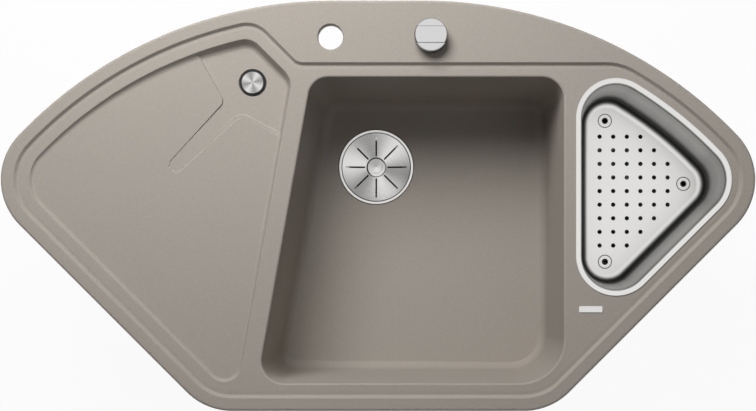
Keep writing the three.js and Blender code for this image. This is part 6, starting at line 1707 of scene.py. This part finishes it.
class CORNER_SINK_OT_hose(bpy.types.Operator):
    """Model the ribbed hose from the overflow to the pot, and its clips"""
    bl_idname = "corner_sink.hose"
    bl_label = "Overflow hose"

    def execute(self, context):
        hose_pieces(context.scene.corner_sink_sizes)
        return {"FINISHED"}


class CORNER_SINK_OT_pipes(bpy.types.Operator):
    """Model the tee, the small bowl's pipe, their nuts and cone rings"""
    bl_idname = "corner_sink.pipes"
    bl_label = "Pipework"

    def execute(self, context):
        pipe_pieces()
        return {"FINISHED"}


class CORNER_SINK_OT_basket(bpy.types.Operator):
    """Model the perforated steel basket"""
    bl_idname = "corner_sink.basket"
    bl_label = "Basket"

    def execute(self, context):
        basket_piece(context.scene.corner_sink_sizes)
        return {"FINISHED"}


class CORNER_SINK_OT_feet(bpy.types.Operator):
    """Model the basket's three feet"""
    bl_idname = "corner_sink.feet"
    bl_label = "Basket feet"

    def execute(self, context):
        foot_pieces()
        return {"FINISHED"}


class CORNER_SINK_OT_stage(bpy.types.Operator):
    """Make the pale floor, the soft light and the camera"""
    bl_idname = "corner_sink.stage"
    bl_label = "Stage"

    def execute(self, context):
        sink_stage(context.scene.corner_sink_stage)
        return {"FINISHED"}


class CORNER_SINK_PT_pieces(bpy.types.Panel):
    """Lists the sizes, the colours and the pieces"""
    bl_idname = "CORNER_SINK_PT_pieces"
    bl_label = "Corner Kitchen Sink"
    bl_space_type = "VIEW_3D"
    bl_region_type = "UI"
    bl_category = "Corner Sink"

    def draw(self, context):
        for name in GROUPS:
            box = self.layout.box()
            group = getattr(context.scene, name)
            for key in group.bl_rna.properties.keys():
                if key not in ("rna_type", "name"):
                    box.prop(group, key)
        for operator in OPERATORS:
            self.layout.operator(operator.bl_idname)


OPERATORS = (
    CORNER_SINK_OT_stage, CORNER_SINK_OT_cable, CORNER_SINK_OT_hose, CORNER_SINK_OT_moulding,
    CORNER_SINK_OT_badge, CORNER_SINK_OT_rim_seal, CORNER_SINK_OT_clips,
    CORNER_SINK_OT_control, CORNER_SINK_OT_waste, CORNER_SINK_OT_strainer,
    CORNER_SINK_OT_small_waste, CORNER_SINK_OT_overflow, CORNER_SINK_OT_pipes,
    CORNER_SINK_OT_basket, CORNER_SINK_OT_feet,
)
GROUPS = {
    "corner_sink_sizes": CornerSinkSizes,
    "corner_sink_colours": CornerSinkColours,
    "corner_sink_stage": CornerSinkStage,
}


def register():
    for name, group in GROUPS.items():
        bpy.utils.register_class(group)
        setattr(bpy.types.Scene, name, PointerProperty(type=group))
    for made in (*OPERATORS, CORNER_SINK_PT_pieces):
        bpy.utils.register_class(made)


def unregister():
    for made in (CORNER_SINK_PT_pieces, *reversed(OPERATORS)):
        bpy.utils.unregister_class(made)
    for name, group in reversed(GROUPS.items()):
        delattr(bpy.types.Scene, name)
        bpy.utils.unregister_class(group)


def main():
    """Builds every piece in order."""
    register()
    for operator in OPERATORS:
        group, name = operator.bl_idname.split(".")
        getattr(getattr(bpy.ops, group), name)()


if __name__ == "__main__":
    main()
